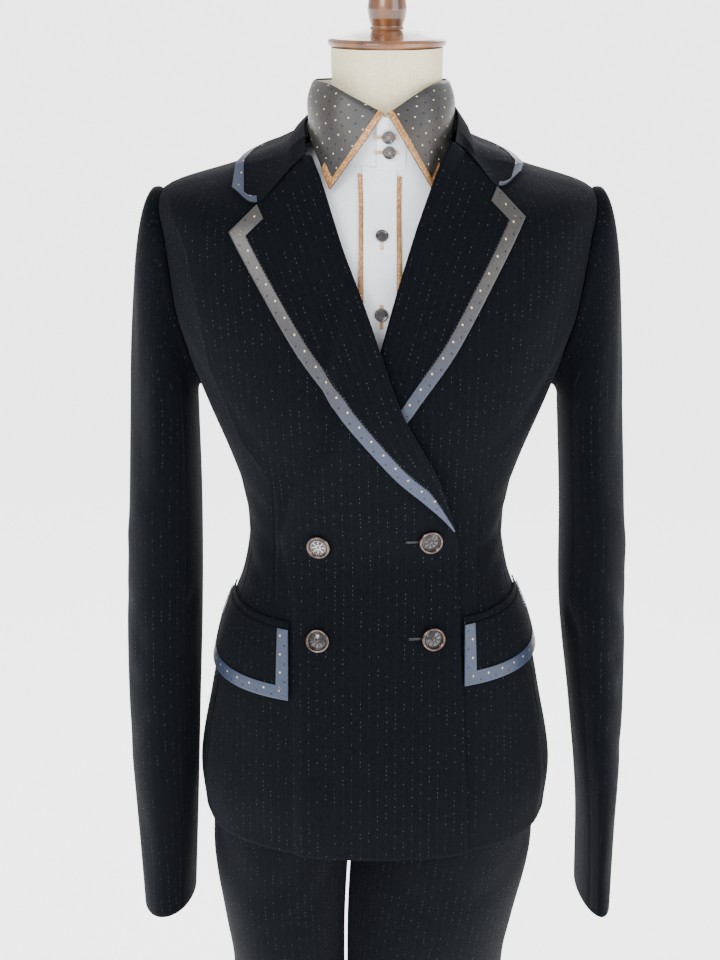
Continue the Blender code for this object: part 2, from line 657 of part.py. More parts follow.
def make_collar():
    """The jacket collar's fall and stand, and the dotted band round the fall."""
    points, normals = collar_grid()
    add_wall("jacket_collar", points, normals, -LEAF / 2, LEAF / 2, "suiting")
    rows, columns = points.shape[:2]
    low = LEAF / 2 + LIFT

    def on_band(i, j):
        end = i in (0, rows - 2) and j >= columns - 3
        return j == columns - 2 or end
    add_wall("collar_band", points, normals, low, low + BAND, "satin", on_band)
    stand, out = [], []
    for side, stations in ((-1, COLLAR_STATIONS[3:]), (1, COLLAR_STATIONS[-2:2:-1])):
        for station in stations:
            fold = collar_controls(side, station)[0]
            turn = smooth_read((1.0, 2.0, 3.0, 4.0), (24.0, 0.0, -45.0, -90.0), station)
            foot = lifted(JACKET_RINGS, side, turn, NECK_ROW, -CLOTH * 0.6)
            foot = foot + np.array((0, 0, STAND_DROP))
            axis = np.array((SHIRT_SHIFT, 0.0, fold[2]))
            inward = (axis - fold) / np.linalg.norm(axis - fold)
            head = fold + inward * STAND_INSET[0] - np.array((0, 0, STAND_INSET[1]))
            stand.append([foot * (1 - t) + head * t for t in (0.0, 0.5, 1.0)])
    stand = np.array(stand)
    out = grid_normals(stand, (SHIRT_SHIFT, 0.0, 1.43))
    add_wall("jacket_collar_stand", stand, out, -LEAF / 2, LEAF / 2, "suiting")


# ---- sleeves ---------------------------------------------------------------------------------
SLEEVE_GAP = 0.22        # the sleeve starts this many degrees inside the armhole
SLEEVE_SEAM = 135.0      # clock angle of both sleeve seams
SLEEVE_SEAM_TURN = 0.22
HEAD_RISE = 0.0060       # roped sleeve head
FOOT_ROWS = 0.012        # the head starts this many rows inside the armhole
ROPE_OUT = (0.0022, 0.0055)   # how far the rope stands out: everywhere, and more at the top
ROPE_AHEAD = 0.0030      # and how far it stands off at the front and the back
HEAD_SWING = (0.003, 0.013, 0.002, 0.0015)   # the curve's first pull: out, out at top, ahead, up
HEAD_TUCK = (0.003, 0.45)     # its last pull: in at the top, and up as a share of the drop
HEAD_STEPS = (0.22, 0.45, 0.7, 1.0)


def sleeve_ring(side, clock, height):
    """A point of a sleeve's ring at a height: clock 0 outside, 90 front, 180 inside."""
    rings = sorted(SLEEVE_RINGS)
    word = "right" if side < 0 else "left"
    outer = column_of(rings, height, SLEEVE_COLUMNS, f"{word}_out")
    inner = column_of(rings, height, SLEEVE_COLUMNS, f"{word}_in")
    depth = column_of(rings, height, SLEEVE_COLUMNS, "depth")
    ahead = column_of(rings, height, SLEEVE_COLUMNS, "ahead")
    turn = math.radians(column_of(rings, height, SLEEVE_COLUMNS, "turn"))
    half = math.sqrt(((outer - inner) / 2) ** 2 - (depth * math.sin(turn)) ** 2) / math.cos(turn)
    clock = math.radians(clock)
    u, w = half * math.cos(clock), depth * math.sin(clock)
    x = (outer + inner) / 2 + u * math.cos(turn) + w * math.sin(turn)
    y = -ahead - w * math.cos(turn) + u * math.sin(turn)
    return np.array((side * x, y, height))


def sleeve_head(side, clock):
    """The points of the sleeve cap at a clock angle, from the armhole to the biceps ring."""
    angle = math.radians(clock)
    turn, row = armhole(clock)
    turn -= SLEEVE_GAP * math.sin(angle)
    row -= FOOT_ROWS * math.cos(angle)
    foot = ring_point(JACKET_RINGS, side, turn, row)
    biceps = sleeve_ring(side, clock, SLEEVE_RINGS[0][0])
    top = max(math.cos(angle / 2), 0.0) ** 2
    front = math.sin(angle)
    drop = foot[2] - biceps[2]
    first = foot + np.array((side * (ROPE_OUT[0] + ROPE_OUT[1] * top), -ROPE_AHEAD * front,
                             HEAD_RISE * top ** 1.5))
    out, out_top, ahead, up = HEAD_SWING
    second = first + np.array((side * (out + out_top * top), -ahead * front, up * top))
    tuck, lift = HEAD_TUCK
    third = biceps + np.array((-side * tuck * top, 0.0, lift * drop))
    line = [foot, first]
    for t in HEAD_STEPS:
        line.append((1 - t) ** 3 * first + 3 * t * (1 - t) ** 2 * second
                    + 3 * t * t * (1 - t) * third + t ** 3 * biceps)
    return line


def sleeve_heights():
    """The heights of a sleeve's rows below the biceps."""
    top, bottom = SLEEVE_RINGS[0][0], SLEEVE_RINGS[-1][0]
    return [top + (bottom - top) * k / 8 for k in range(1, 9)]


def sleeve_grid(side, clocks):
    """The points of a sleeve, a column for each clock angle."""
    points = []
    for clock in clocks:
        line = sleeve_head(side, clock)
        line += [sleeve_ring(side, clock, height) for height in sleeve_heights()]
        points.append(line)
    return np.array(points)


def make_sleeves():
    """Top and under sleeves of both arms."""
    clocks = np.arange(-SLEEVE_SEAM, 361 - SLEEVE_SEAM, ARMHOLE_STEP)
    split = int(round(2 * SLEEVE_SEAM / ARMHOLE_STEP))
    for side, word in ((-1, "right"), (1, "left")):
        whole = sleeve_grid(side, clocks)
        padded = np.concatenate((whole[-2:-1], whole, whole[1:2]))
        middle = whole.mean(axis=0)
        normals = np.cross(np.gradient(padded, axis=1), np.gradient(padded, axis=0))[1:-1]
        normals /= np.linalg.norm(normals, axis=2, keepdims=True)
        if np.sum(normals * (whole - middle)) < 0:
            normals = -normals
        for name, first, last in (("top_sleeve", 0, split), ("under_sleeve", split, len(clocks) - 1)):
            points = whole[first:last + 1].copy()
            for edge, beyond in ((0, 1), (-1, -2)):
                run = points[beyond] - points[edge]
                reach = np.linalg.norm(run, axis=1, keepdims=True)
                points[edge] += run / reach * SEAM / 2
            add_wall(f"{word}_{name}", points, normals[first:last + 1], -CLOTH, 0.0, "suiting")


# ---- pockets ---------------------------------------------------------------------------------
FLAP_FRONT_X = 0.0775    # front edge of a flap, from the middle
FLAP_END_TURN = -6.0     # back edge of a flap, degrees from the side line
BAND_TURN = 4.6          # width of the band on a flap's ends, degrees
FLAP_LIFT = 0.0014


def pocket_grid(side, heights):
    """Points and normals over a front at a pocket, from its front edge round to the side."""
    points, normals = [], []
    for height in heights:
        row = smooth_read([r[1] for r in JACKET_RINGS[:7]], range(7), height)
        start = turn_on_outline(side, row, lambda z: -FLAP_FRONT_X)
        inner = start - BAND_TURN
        outer = FLAP_END_TURN + BAND_TURN
        stops = [start, *np.linspace(inner, outer, 8), FLAP_END_TURN]
        points.append([ring_point(JACKET_RINGS, side, turn, row) for turn in stops])
        normals.append([ring_normal(JACKET_RINGS, side, turn, row) for turn in stops])
    return np.array(points), np.array(normals)


def make_pockets():
    """The welt, flap and dotted flap band of each pocket."""
    for side, word in ((-1, "right"), (1, "left")):
        top = POCKET_TOP_Z
        heights = (top, top - 0.025, top - FLAP_DEPTH + SATIN_WIDTH, top - FLAP_DEPTH)
        points, normals = pocket_grid(side, heights)
        rows, columns = points.shape[:2]
        add_wall(f"{word}_pocket_flap", points, normals, FLAP_LIFT, FLAP_LIFT + LEAF, "suiting")
        low = FLAP_LIFT + LEAF + LIFT

        def on_band(i, j):
            return i == rows - 2 or j in (0, columns - 2)
        add_wall(f"{word}_flap_band", points, normals, low, low + BAND, "satin", on_band)
        points, normals = pocket_grid(side, (top + 0.0006 + WELT_DEPTH, top + 0.0006))
        add_wall(f"{word}_pocket_welt", points, normals, FLAP_LIFT - 0.0005, FLAP_LIFT + 0.0010,
                 "suiting")


# ---- dress form --------------------------------------------------------------------------------
FORM_ROWS = (0, 1, 1.5, 2, 2.5, 3, 3.5, 4, 5, 6, 7, 7.5, 8, 8.5, 9, 9.25, 9.5, 9.75, 10, 11)
FORM_SIDES = 20
CAP_PROFILE = ((0.0, 1.5036), (0.0485, 1.5036), (0.0508, 1.5050), (0.0508, 1.5085), (0.0480, 1.5105),
               (0.0300, 1.5150), (0.0150, 1.5175), (0.0135, 1.5200), (0.0158, 1.5270),
               (0.0168, 1.5345), (0.0158, 1.5430), (0.0118, 1.5480), (0.0118, 1.5500),
               (0.0135, 1.5560), (0.0120, 1.5650), (0.0070, 1.5720), (0.0, 1.5750))
BASE_PROFILE = ((0.0, 0.0), (0.176, 0.0), (BASE_RADIUS, 0.004), (BASE_RADIUS, 0.018),
                (0.174, 0.024), (0.120, 0.0275), (0.0, BASE_HEIGHT))


def make_form():
    """The limbless torso with its neck, the neck cap, the pole and the base."""
    verts, faces, rings = [], [], []
    for row in FORM_ROWS:
        ring = []
        for k in range(FORM_SIDES):
            turn = 360 * k / FORM_SIDES
            side = 1 if turn < 90 or turn > 270 else -1
            local = turn if turn <= 90 else (180 - turn if turn <= 270 else turn - 360)
            ring.append(len(verts))
            verts.append(ring_point(FORM_RINGS, side, local, row))
        rings.append(ring)
    for low, high in zip(rings, rings[1:]):
        for k in range(FORM_SIDES):
            n = (k + 1) % FORM_SIDES
            faces.append((low[k], low[n], high[n]))
            faces.append((low[k], high[n], high[k]))
    for ring, height in ((rings[0], FORM_RINGS[0][1]), (rings[-1], FORM_RINGS[-1][1])):
        middle = len(verts)
        verts.append((NECK_LEAN if ring is rings[-1] else 0.0, 0.0, height))
        for k in range(FORM_SIDES):
            pair = (ring[k], ring[(k + 1) % FORM_SIDES])
            faces.append((*(pair if ring is rings[-1] else pair[::-1]), middle))
    add_object("form_torso", verts, faces, "linen")
    turned("form_neck_cap", CAP_PROFILE, "wood", (NECK_LEAN, 0.0), 16)
    top = FORM_RINGS[0][1] - SEAM
    pole = ((0.0, BASE_HEIGHT + SEAM), (POLE_RADIUS, BASE_HEIGHT + SEAM), (POLE_RADIUS, top), (0.0, top))
    turned("form_pole", pole, "wood", sides=12)
    turned("form_base", BASE_PROFILE, "wood", sides=32)


# ---- trousers ----------------------------------------------------------------------------------
WAISTBAND_DEPTH = 0.036
LEG_STOPS = ((WAIST_Z - WAISTBAND_DEPTH - SEAM, 0), (FORK_Z, 4), (CROTCH_Z, 6), (0.600, 4),
             (TROUSER_HEM_Z, 5))      # height, and steps down to it
SEAM_RADIANS = 0.0018
LEG_SPACE = 0.0012       # half the space between the thighs


def trouser_point(side, face, height, share):
    """A point of a trouser panel: share 0 at the side seam, 1 at the centre seam or inseam."""
    word = "right_out" if side < 0 else "left_out"
    outer = column_of(TROUSER_RINGS, height, TROUSER_COLUMNS, word)
    depth = column_of(TROUSER_RINGS, height, TROUSER_COLUMNS, face)
    cleft = column_of(TROUSER_RINGS, height, TROUSER_COLUMNS, "cleft")
    shift = column_of(TROUSER_RINGS, height, TROUSER_COLUMNS, "leg_shift")
    part = smoothstep(0.0, 1.0, (FORK_Z - height) / (FORK_Z - CROTCH_Z))
    inner = side * cleft + SEAM / 2 + LEG_SPACE * part
    reach = math.radians(90 + 90 * part)
    half = (outer - inner) / (1 - math.cos(reach))
    angle = SEAM_RADIANS + share * (reach - SEAM_RADIANS * (1 + part))
    ahead = -1 if face == "front" else 1
    square = 1 + 0.05 * (1 - part) * math.sin(2 * min(angle, math.pi / 2)) ** 2
    y = ahead * depth * square * math.sin(angle) - shift * part
    x = outer - half + half * square * math.cos(angle)
    return np.array((side * x, y, height))


def trouser_grid(side, face, heights, shares):
    """Points and normals of a trouser panel."""
    points, normals = [], []
    for height in heights:
        line, out = [], []
        for share in shares:
            point = trouser_point(side, face, height, share)
            across = (trouser_point(side, face, height, share + 0.01)
                      - trouser_point(side, face, height, share - 0.01))
            up = (trouser_point(side, face, height + 0.004, share)
                  - trouser_point(side, face, height - 0.004, share))
            normal = np.cross(across, up) * side * (1 if face == "back" else -1)
            line.append(point)
            out.append(normal / np.linalg.norm(normal))
        points.append(line)
        normals.append(out)
    return np.array(points), np.array(normals)


def make_trousers():
    """The four trouser panels and the waistband."""
    heights = [LEG_STOPS[0][0]]
    for height, steps in LEG_STOPS[1:]:
        heights += list(np.linspace(heights[-1], height, steps + 1))[1:]
    for side, word in ((-1, "right"), (1, "left")):
        for face in ("front", "back"):
            points, normals = trouser_grid(side, face, heights, np.linspace(0, 1, 7))
            add_wall(f"trouser_{word}_{face}", points, normals, -CLOTH, 0.0, "suiting")
    band_points, band_normals = [], []
    heights = (WAIST_Z - WAISTBAND_DEPTH, WAIST_Z)
    shares = np.linspace(0, 1, 7)
    for side, face, run in ((-1, "front", shares[::-1]), (-1, "back", shares[1:-1]),
                            (1, "back", shares[::-1][:-1]), (1, "front", shares[1:])):
        points, normals = trouser_grid(side, face, heights, run)
        band_points += list(points.transpose(1, 0, 2))
        band_normals += list(normals.transpose(1, 0, 2))
    add_wall("trouser_waistband", np.array(band_points), np.array(band_normals), -CLOTH, 0.0,
             "suiting")


# ---- shirt ---------------------------------------------------------------------------------------
SHIRT_LOW_ROW = 2.90
SHIRT_ARMHOLE_ROWS = (5.2, 7.0)
SHIRT_NECK_ROW = 9.40
SHIRT_ARMHOLE_TURN = 22.0
PLACKET_LIFT = 0.0020
LEAF_SHARES = (0.06, 0.35, 0.65, 0.90, 1.0)
LEAF_BULGE = 0.0032      # the collar's leaf stands off its straight line by this
LEAF_LIFT = 0.0006
LEAF_FOLD = (0.0004, 0.0002)   # its fold tucks in and down by these
STAND_TUCK = 0.0012      # the stand's top lies this far inside and below the fold


def shirt_lift(row):
    """How far the shirt's wall stands off the form."""
    return 0.0026 + 0.0030 * smoothstep(3.0, 4.2, row) * smoothstep(8.2, 6.2, row)


def shirt_start(row):
    """The angle of a shirt front's or back's side edge: side seam, armhole or shoulder seam."""
    low, high = SHIRT_ARMHOLE_ROWS
    share = min(max((row - low) / (high - low), 0.0), 1.0)
    return SHIRT_ARMHOLE_TURN * math.sqrt(1 - (2 * share - 1) ** 2)


def shirt_rows():
    """The rows of the shirt's fronts and back."""
    low, high = SHIRT_ARMHOLE_ROWS
    rows = list(np.linspace(SHIRT_LOW_ROW, low, 6))
    rows += [low + (high - low) * (1 - math.cos(math.pi * k / 5)) / 2 for k in range(1, 6)]
    return rows + [7.5, 8.0, 8.5, 9.0, 9.2, SHIRT_NECK_ROW]


def shirt_turn_at(side, row, across):
    """The angle at which a row of the shirt front lies this far across."""
    low, high = 20.0, 160.0
    for _ in range(40):
        middle = (low + high) / 2
        if side * (ring_point(FORM_RINGS, side, middle, row)[0] - across) > 0:
            low = middle
        else:
            high = middle
    return low


def shirt_grid(side, face):
    """Points and normals of a shirt front or half of the back."""
    meet = sum(STRIPE_X) / 2 + side * SEAM
    points, normals = [], []
    for row in shirt_rows():
        start = shirt_start(row) + SEAM_TURN
        end = shirt_turn_at(side, row, meet) if face == "front" else 90.0
        stops = np.linspace(start, end, 7)
        if face == "back":
            stops = -stops
        points.append([lifted(FORM_RINGS, side, t, row, shirt_lift(row)) for t in stops])
        normals.append([ring_normal(FORM_RINGS, side, t, row) for t in stops])
    return np.array(points), np.array(normals)


def shirt_strip(left, right, rows, lift, wall, name, finish):
    """A strip on the shirt front between two distances across, moved out from its points."""
    points, normals = [], []
    for row in rows:
        line, out = [], []
        for across in np.linspace(left, right, 3 if right - left > 0.01 else 2):
            turn = shirt_turn_at(1, row, across)
            line.append(lifted(FORM_RINGS, 1, turn, row, shirt_lift(row) + lift))
            out.append(ring_normal(FORM_RINGS, 1, turn, row))
        points.append(line)
        normals.append(out)
    add_wall(name, np.array(points), np.array(normals), 0.0, wall, finish)


def shirt_collar_line(side, station):
    """The points of the shirt collar's leaf from its fold to its edge."""
    columns = dict(zip(SHIRT_COLLAR_COLUMNS, zip(*SHIRT_COLLAR)))
    keys = range(len(SHIRT_COLLAR))
    value = {name: smooth_read(keys, column, station) for name, column in columns.items()}
    fold = np.array((side * value["fold_x"] + SHIRT_SHIFT, value["fold_y"], value["fold_z"]))
    edge = np.array((side * value["edge_x"] + SHIRT_SHIFT, value["edge_y"], value["edge_z"]))
    out = fold - np.array((SHIRT_SHIFT, 0.0, fold[2]))
    out /= np.linalg.norm(out)
    run = edge - fold
    line = [fold - out * LEAF_FOLD[0] - np.array((0, 0, LEAF_FOLD[1]))]
    for share in LEAF_SHARES:
        bulge = LEAF_BULGE * math.sin(math.pi * min(share * 1.15, 1.0)) + LEAF_LIFT
        line.append(fold + run * share + out * bulge)
    return line


def shirt_stand_line(side, station):
    """Three points up the shirt's collar stand, from the neck seam to just inside the fold."""
    fold = shirt_collar_line(side, station)[0]
    inward = np.array((SHIRT_SHIFT, 0.0, fold[2])) - fold
    inward /= np.linalg.norm(inward)
    head = fold + inward * STAND_TUCK - np.array((0, 0, STAND_TUCK))
    turn = smooth_read((0.0, 1.0, 2.0, 3.0, 4.0), (86.0, 50.0, 0.0, -45.0, -90.0), station)
    row = SHIRT_NECK_ROW + 0.03
    foot = lifted(FORM_RINGS, side, turn, row, shirt_lift(row) + 0.0004)
    return [foot * (1 - t) + head * t for t in (0.0, 0.5, 1.0)]


def make_shirt():
    """The shirt's fronts, back, placket, stripes, collar stand, collar and piping."""
    halves = {}
    for side, word in ((-1, "right"), (1, "left")):
        points, normals = shirt_grid(side, "front")
        add_wall(f"shirt_{word}_front", points, normals, -FINE / 2, FINE / 2, "shirting")
        halves[side] = shirt_grid(side, "back")
    points = np.concatenate((halves[-1][0], halves[1][0][:, -2::-1]), axis=1)
    normals = np.concatenate((halves[-1][1], halves[1][1][:, -2::-1]), axis=1)
    add_wall("shirt_back", points, normals, -FINE / 2, FINE / 2, "shirting")
    rows = np.linspace(3.36, SHIRT_NECK_ROW, 16)
    left, right = STRIPE_X
    inner = STRIPE_WIDTH / 2 + SEAM
    low = FINE / 2 + PLACKET_LIFT - FINE
    shirt_strip(left + inner, right - inner, rows, low, FINE, "shirt_placket", "shirting")
    for middle, word in ((left, "right"), (right, "left")):
        shirt_strip(middle - STRIPE_WIDTH / 2, middle + STRIPE_WIDTH / 2, rows[:-1], low, FINE,
                    f"placket_{word}_stripe", "piping")
    stations = (0.0, 0.12, 0.5, 1.0, 1.33, 1.67, 2.0, 2.33, 2.67, 3.0, 3.5, 4.0)
    lines = [shirt_collar_line(-1, s) for s in stations]
    lines += [shirt_collar_line(1, s) for s in stations[-2::-1]]
    points = np.array(lines)
    normals = grid_normals(points, (SHIRT_SHIFT, 0.0, 1.40))
    add_wall("shirt_collar", points, normals, -FINE / 2, FINE / 2, "collar_satin")
    rows_count, columns = points.shape[:2]
    low = FINE / 2 + SEAM

    def on_piping(i, j):
        end = i in (0, rows_count - 2)
        tip = i in (1, rows_count - 3) and j == columns - 2
        return end or tip
    for word, near in (("right", lambda i: i < 3), ("left", lambda i: i > rows_count - 6)):
        add_wall(f"shirt_collar_{word}_piping", points, normals, low, low + BAND, "piping",
                 lambda i, j, near=near: on_piping(i, j) and near(i))
    stand = [shirt_stand_line(side, station)
             for side, run in ((-1, stations), (1, stations[-2::-1])) for station in run]
    stand = np.array(stand)
    add_wall("shirt_collar_stand", stand, grid_normals(stand, (SHIRT_SHIFT, 0.0, 1.44)),
             -FINE / 2, FINE / 2, "shirting")


# ---- buttons -------------------------------------------------------------------------------------
BUTTON_SIDES = {"button_metal": 12, "button_smoke": 10}
JACKET_BUTTON = ((0.0, 0.0), (0.30, 0.0), (0.30, 0.14), (0.90, 0.16), (1.0, 0.26), (0.96, 0.38),
                 (0.86, 0.43), (0.76, 0.36), (0.70, 0.27), (0.30, 0.27), (0.0, 0.33))
SHIRT_BUTTON = ((0.0, 0.0), (0.80, 0.0), (1.0, 0.12), (1.0, 0.30), (0.86, 0.38), (0.66, 0.28),
                (0.0, 0.25))


def button(name, seat, normal, radius, profile, finish):
    """A turned button on a seat, facing along a normal, from a profile in its own radii."""
    normal = normal / np.linalg.norm(normal)
    across = np.cross((0.0, 0.0, 1.0), normal)
    across /= np.linalg.norm(across)
    up = np.cross(normal, across)
    item = turned(name, [(r * radius, h * radius) for r, h in profile], finish,
                  sides=BUTTON_SIDES[finish])
    for vertex in item.data.vertices:
        x, y, z = vertex.co
        vertex.co = seat + across * x + up * y + normal * z
    item.data.update()


def make_buttons():
    """Four shank buttons on the over front and four small ones on the shirt."""
    for height, place in zip(JACKET_BUTTON_ROWS, ("upper", "lower")):
        for across, word in ((-JACKET_BUTTON_X, "right"), (JACKET_BUTTON_X, "left")):
            turn, row = locate(JACKET_RINGS, -1, across, height)
            normal = ring_normal(JACKET_RINGS, -1, turn, row)
            seat = ring_point(JACKET_RINGS, -1, turn, row)
            seat = seat + normal * (over_lift(seat) + 0.0006)
            button(f"jacket_{place}_{word}_button", seat, normal, JACKET_BUTTON_RADIUS,
                   JACKET_BUTTON, "button_metal")
    for k, (across, height) in enumerate(SHIRT_BUTTONS):
        turn, row = locate(FORM_RINGS, 1, across, min(height, STAND_FOOT_Z))
        normal = ring_normal(FORM_RINGS, 1, turn, row)
        lift = shirt_lift(row) + FINE / 2 + PLACKET_LIFT + 0.0005
        seat = ring_point(FORM_RINGS, 1, turn, row) + normal * lift
        if height > STAND_FOOT_Z:
            foot, _, head = shirt_stand_line(1, 0.0)
            seat = foot + (head - foot) * (height - foot[2]) / (head[2] - foot[2])
            normal = np.cross((1.0, 0.0, 0.0), head - foot)
            seat = seat + normal / np.linalg.norm(normal) * (FINE / 2 + 0.0005)
        button(f"shirt_button_{k + 1}", seat, normal, SHIRT_BUTTON_RADIUS, SHIRT_BUTTON,
               "button_smoke")


def main():
    """Build every piece of the suit and of the form it rests on."""
    for item in list(bpy.data.objects):
        bpy.data.objects.remove(item, do_unlink=True)
    make_body()
    make_lapels()
    make_collar()
    make_sleeves()
    make_pockets()
    make_trousers()
    make_shirt()
    make_buttons()
    make_form()


main()
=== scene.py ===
"""Showmanship suit on a limbless dress form: the looks of every piece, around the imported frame.

Metres, +Z up, the front faces -Y. Side -1 is the wearer's right and side +1 the wearer's left. A
turn is an angle round the body: 0 at the side line, 90 at centre front, -90 at centre back. A row
is a place up a ring table, counted in its rows. Every cloth piece carries a map of its own cut in
metres, so stripes, dots and weave lie on it as on the real cloth.
"""
from __future__ import annotations

import logging
import math
from collections.abc import Callable
from dataclasses import dataclass, field
from enum import Enum, IntEnum

import bmesh
import bpy
import numpy as np
from mathutils import Matrix, Vector


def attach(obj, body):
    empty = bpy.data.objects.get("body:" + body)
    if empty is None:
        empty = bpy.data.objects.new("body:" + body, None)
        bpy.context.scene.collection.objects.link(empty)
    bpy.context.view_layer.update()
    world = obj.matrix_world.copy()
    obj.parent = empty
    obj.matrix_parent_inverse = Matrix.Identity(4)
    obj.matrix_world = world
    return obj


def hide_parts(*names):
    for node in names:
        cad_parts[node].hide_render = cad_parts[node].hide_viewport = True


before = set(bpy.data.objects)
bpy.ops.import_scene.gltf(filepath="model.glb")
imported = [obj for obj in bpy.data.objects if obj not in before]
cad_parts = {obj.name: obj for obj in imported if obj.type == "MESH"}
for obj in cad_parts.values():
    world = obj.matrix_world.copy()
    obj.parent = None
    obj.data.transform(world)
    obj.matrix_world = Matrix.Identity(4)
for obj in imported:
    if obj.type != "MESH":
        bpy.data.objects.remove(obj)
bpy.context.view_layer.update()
log = logging.getLogger("suit")

Grid = np.ndarray
Piece = bpy.types.Object
Material = bpy.types.Material
Socket = bpy.types.NodeSocket
Colour = tuple[float, float, float]
BODY = "root"
SHARP = 62.0             # degrees: an edge turned more than this stays crisp


class Side(IntEnum):
    """A side of the wearer, as the sign of its X."""

    RIGHT = -1
    LEFT = 1

    @property
    def word(self) -> str:
        """The side's name in lower case."""
        return self.name.lower()


class Hold(Enum):
    """How a cloth piece is held."""

    HUNG = "hung"
    FOLDED = "folded"
    LAID = "laid"


# ---- curves and ring tables ------------------------------------------------------------------
def smooth_read(keys: Grid, values: Grid, at: Grid) -> Grid:
    """Read a smooth curve through values at rising keys.

    Args:
        keys: the places of the values, rising.
        values: one value, or one row of values, for each key.
        at: the places to read, of any shape.

    Returns:
        The values there, with the shape of at and then that of a value.
    """
    keys = np.asarray(keys, dtype=float)
    values = np.asarray(values, dtype=float)
    at = np.clip(np.asarray(at, dtype=float), keys[0], keys[-1])
    i = np.clip(np.searchsorted(keys, at, side="right") - 1, 0, len(keys) - 2)
    before = np.maximum(i - 1, 0)
    after = np.minimum(i + 2, len(keys) - 1)
    step = keys[i + 1] - keys[i]
    t = (at - keys[i]) / step
    slope_a = step / (keys[i + 1] - keys[before])
    slope_b = step / (keys[after] - keys[i])
    if values.ndim == 2:
        t, slope_a, slope_b = t[..., None], slope_a[..., None], slope_b[..., None]
    rise_a = (values[i + 1] - values[before]) * slope_a
    rise_b = (values[after] - values[i]) * slope_b
    return ((1 + 2 * t) * (1 - t) ** 2 * values[i] + t * (1 - t) ** 2 * rise_a
            + t * t * (3 - 2 * t) * values[i + 1] + t * t * (t - 1) * rise_b)


def smoothstep(low: Grid, high: Grid, value: Grid) -> Grid:
    """0 at low, 1 at high, level beyond them and an even S between."""
    t = np.clip((np.asarray(value, dtype=float) - low) / (np.asarray(high, dtype=float) - low), 0.0, 1.0)
    return t * t * (3 - 2 * t)


def path_at(points: Grid, share: Grid) -> Grid:
    """Points at shares of the length of a smooth curve through points."""
    points = np.asarray(points, dtype=float)
    steps = np.linalg.norm(np.diff(points, axis=0), axis=1)
    keys = np.concatenate(([0.0], np.cumsum(steps))) / steps.sum()
    return smooth_read(keys, points, share)


def across_at(outline: Grid, height: Grid) -> Grid:
    """How far across a rising outline of (across, height) points is at heights."""
    outline = np.asarray(outline, dtype=float)
    return smooth_read(outline[:, 1], outline[:, 0], height)


def unit(vectors: Grid) -> Grid:
    """One vector, or each of an array of them, made one long."""
    return vectors / np.maximum(np.linalg.norm(vectors, axis=-1, keepdims=True), 1e-12)


def nearest(values: Grid, goal: float) -> int:
    """The number of the value that lies nearest to a goal."""
    return int(np.argmin(np.abs(values - goal)))


def run_length(points: Grid, axis: int) -> Grid:
    """The distance along an axis of a grid of points, from its first point."""
    steps = np.linalg.norm(np.diff(points, axis=axis), axis=2)
    first = np.zeros_like(np.take(steps, [0], axis=axis))
    return np.concatenate((first, np.cumsum(steps, axis=axis)), axis=axis)


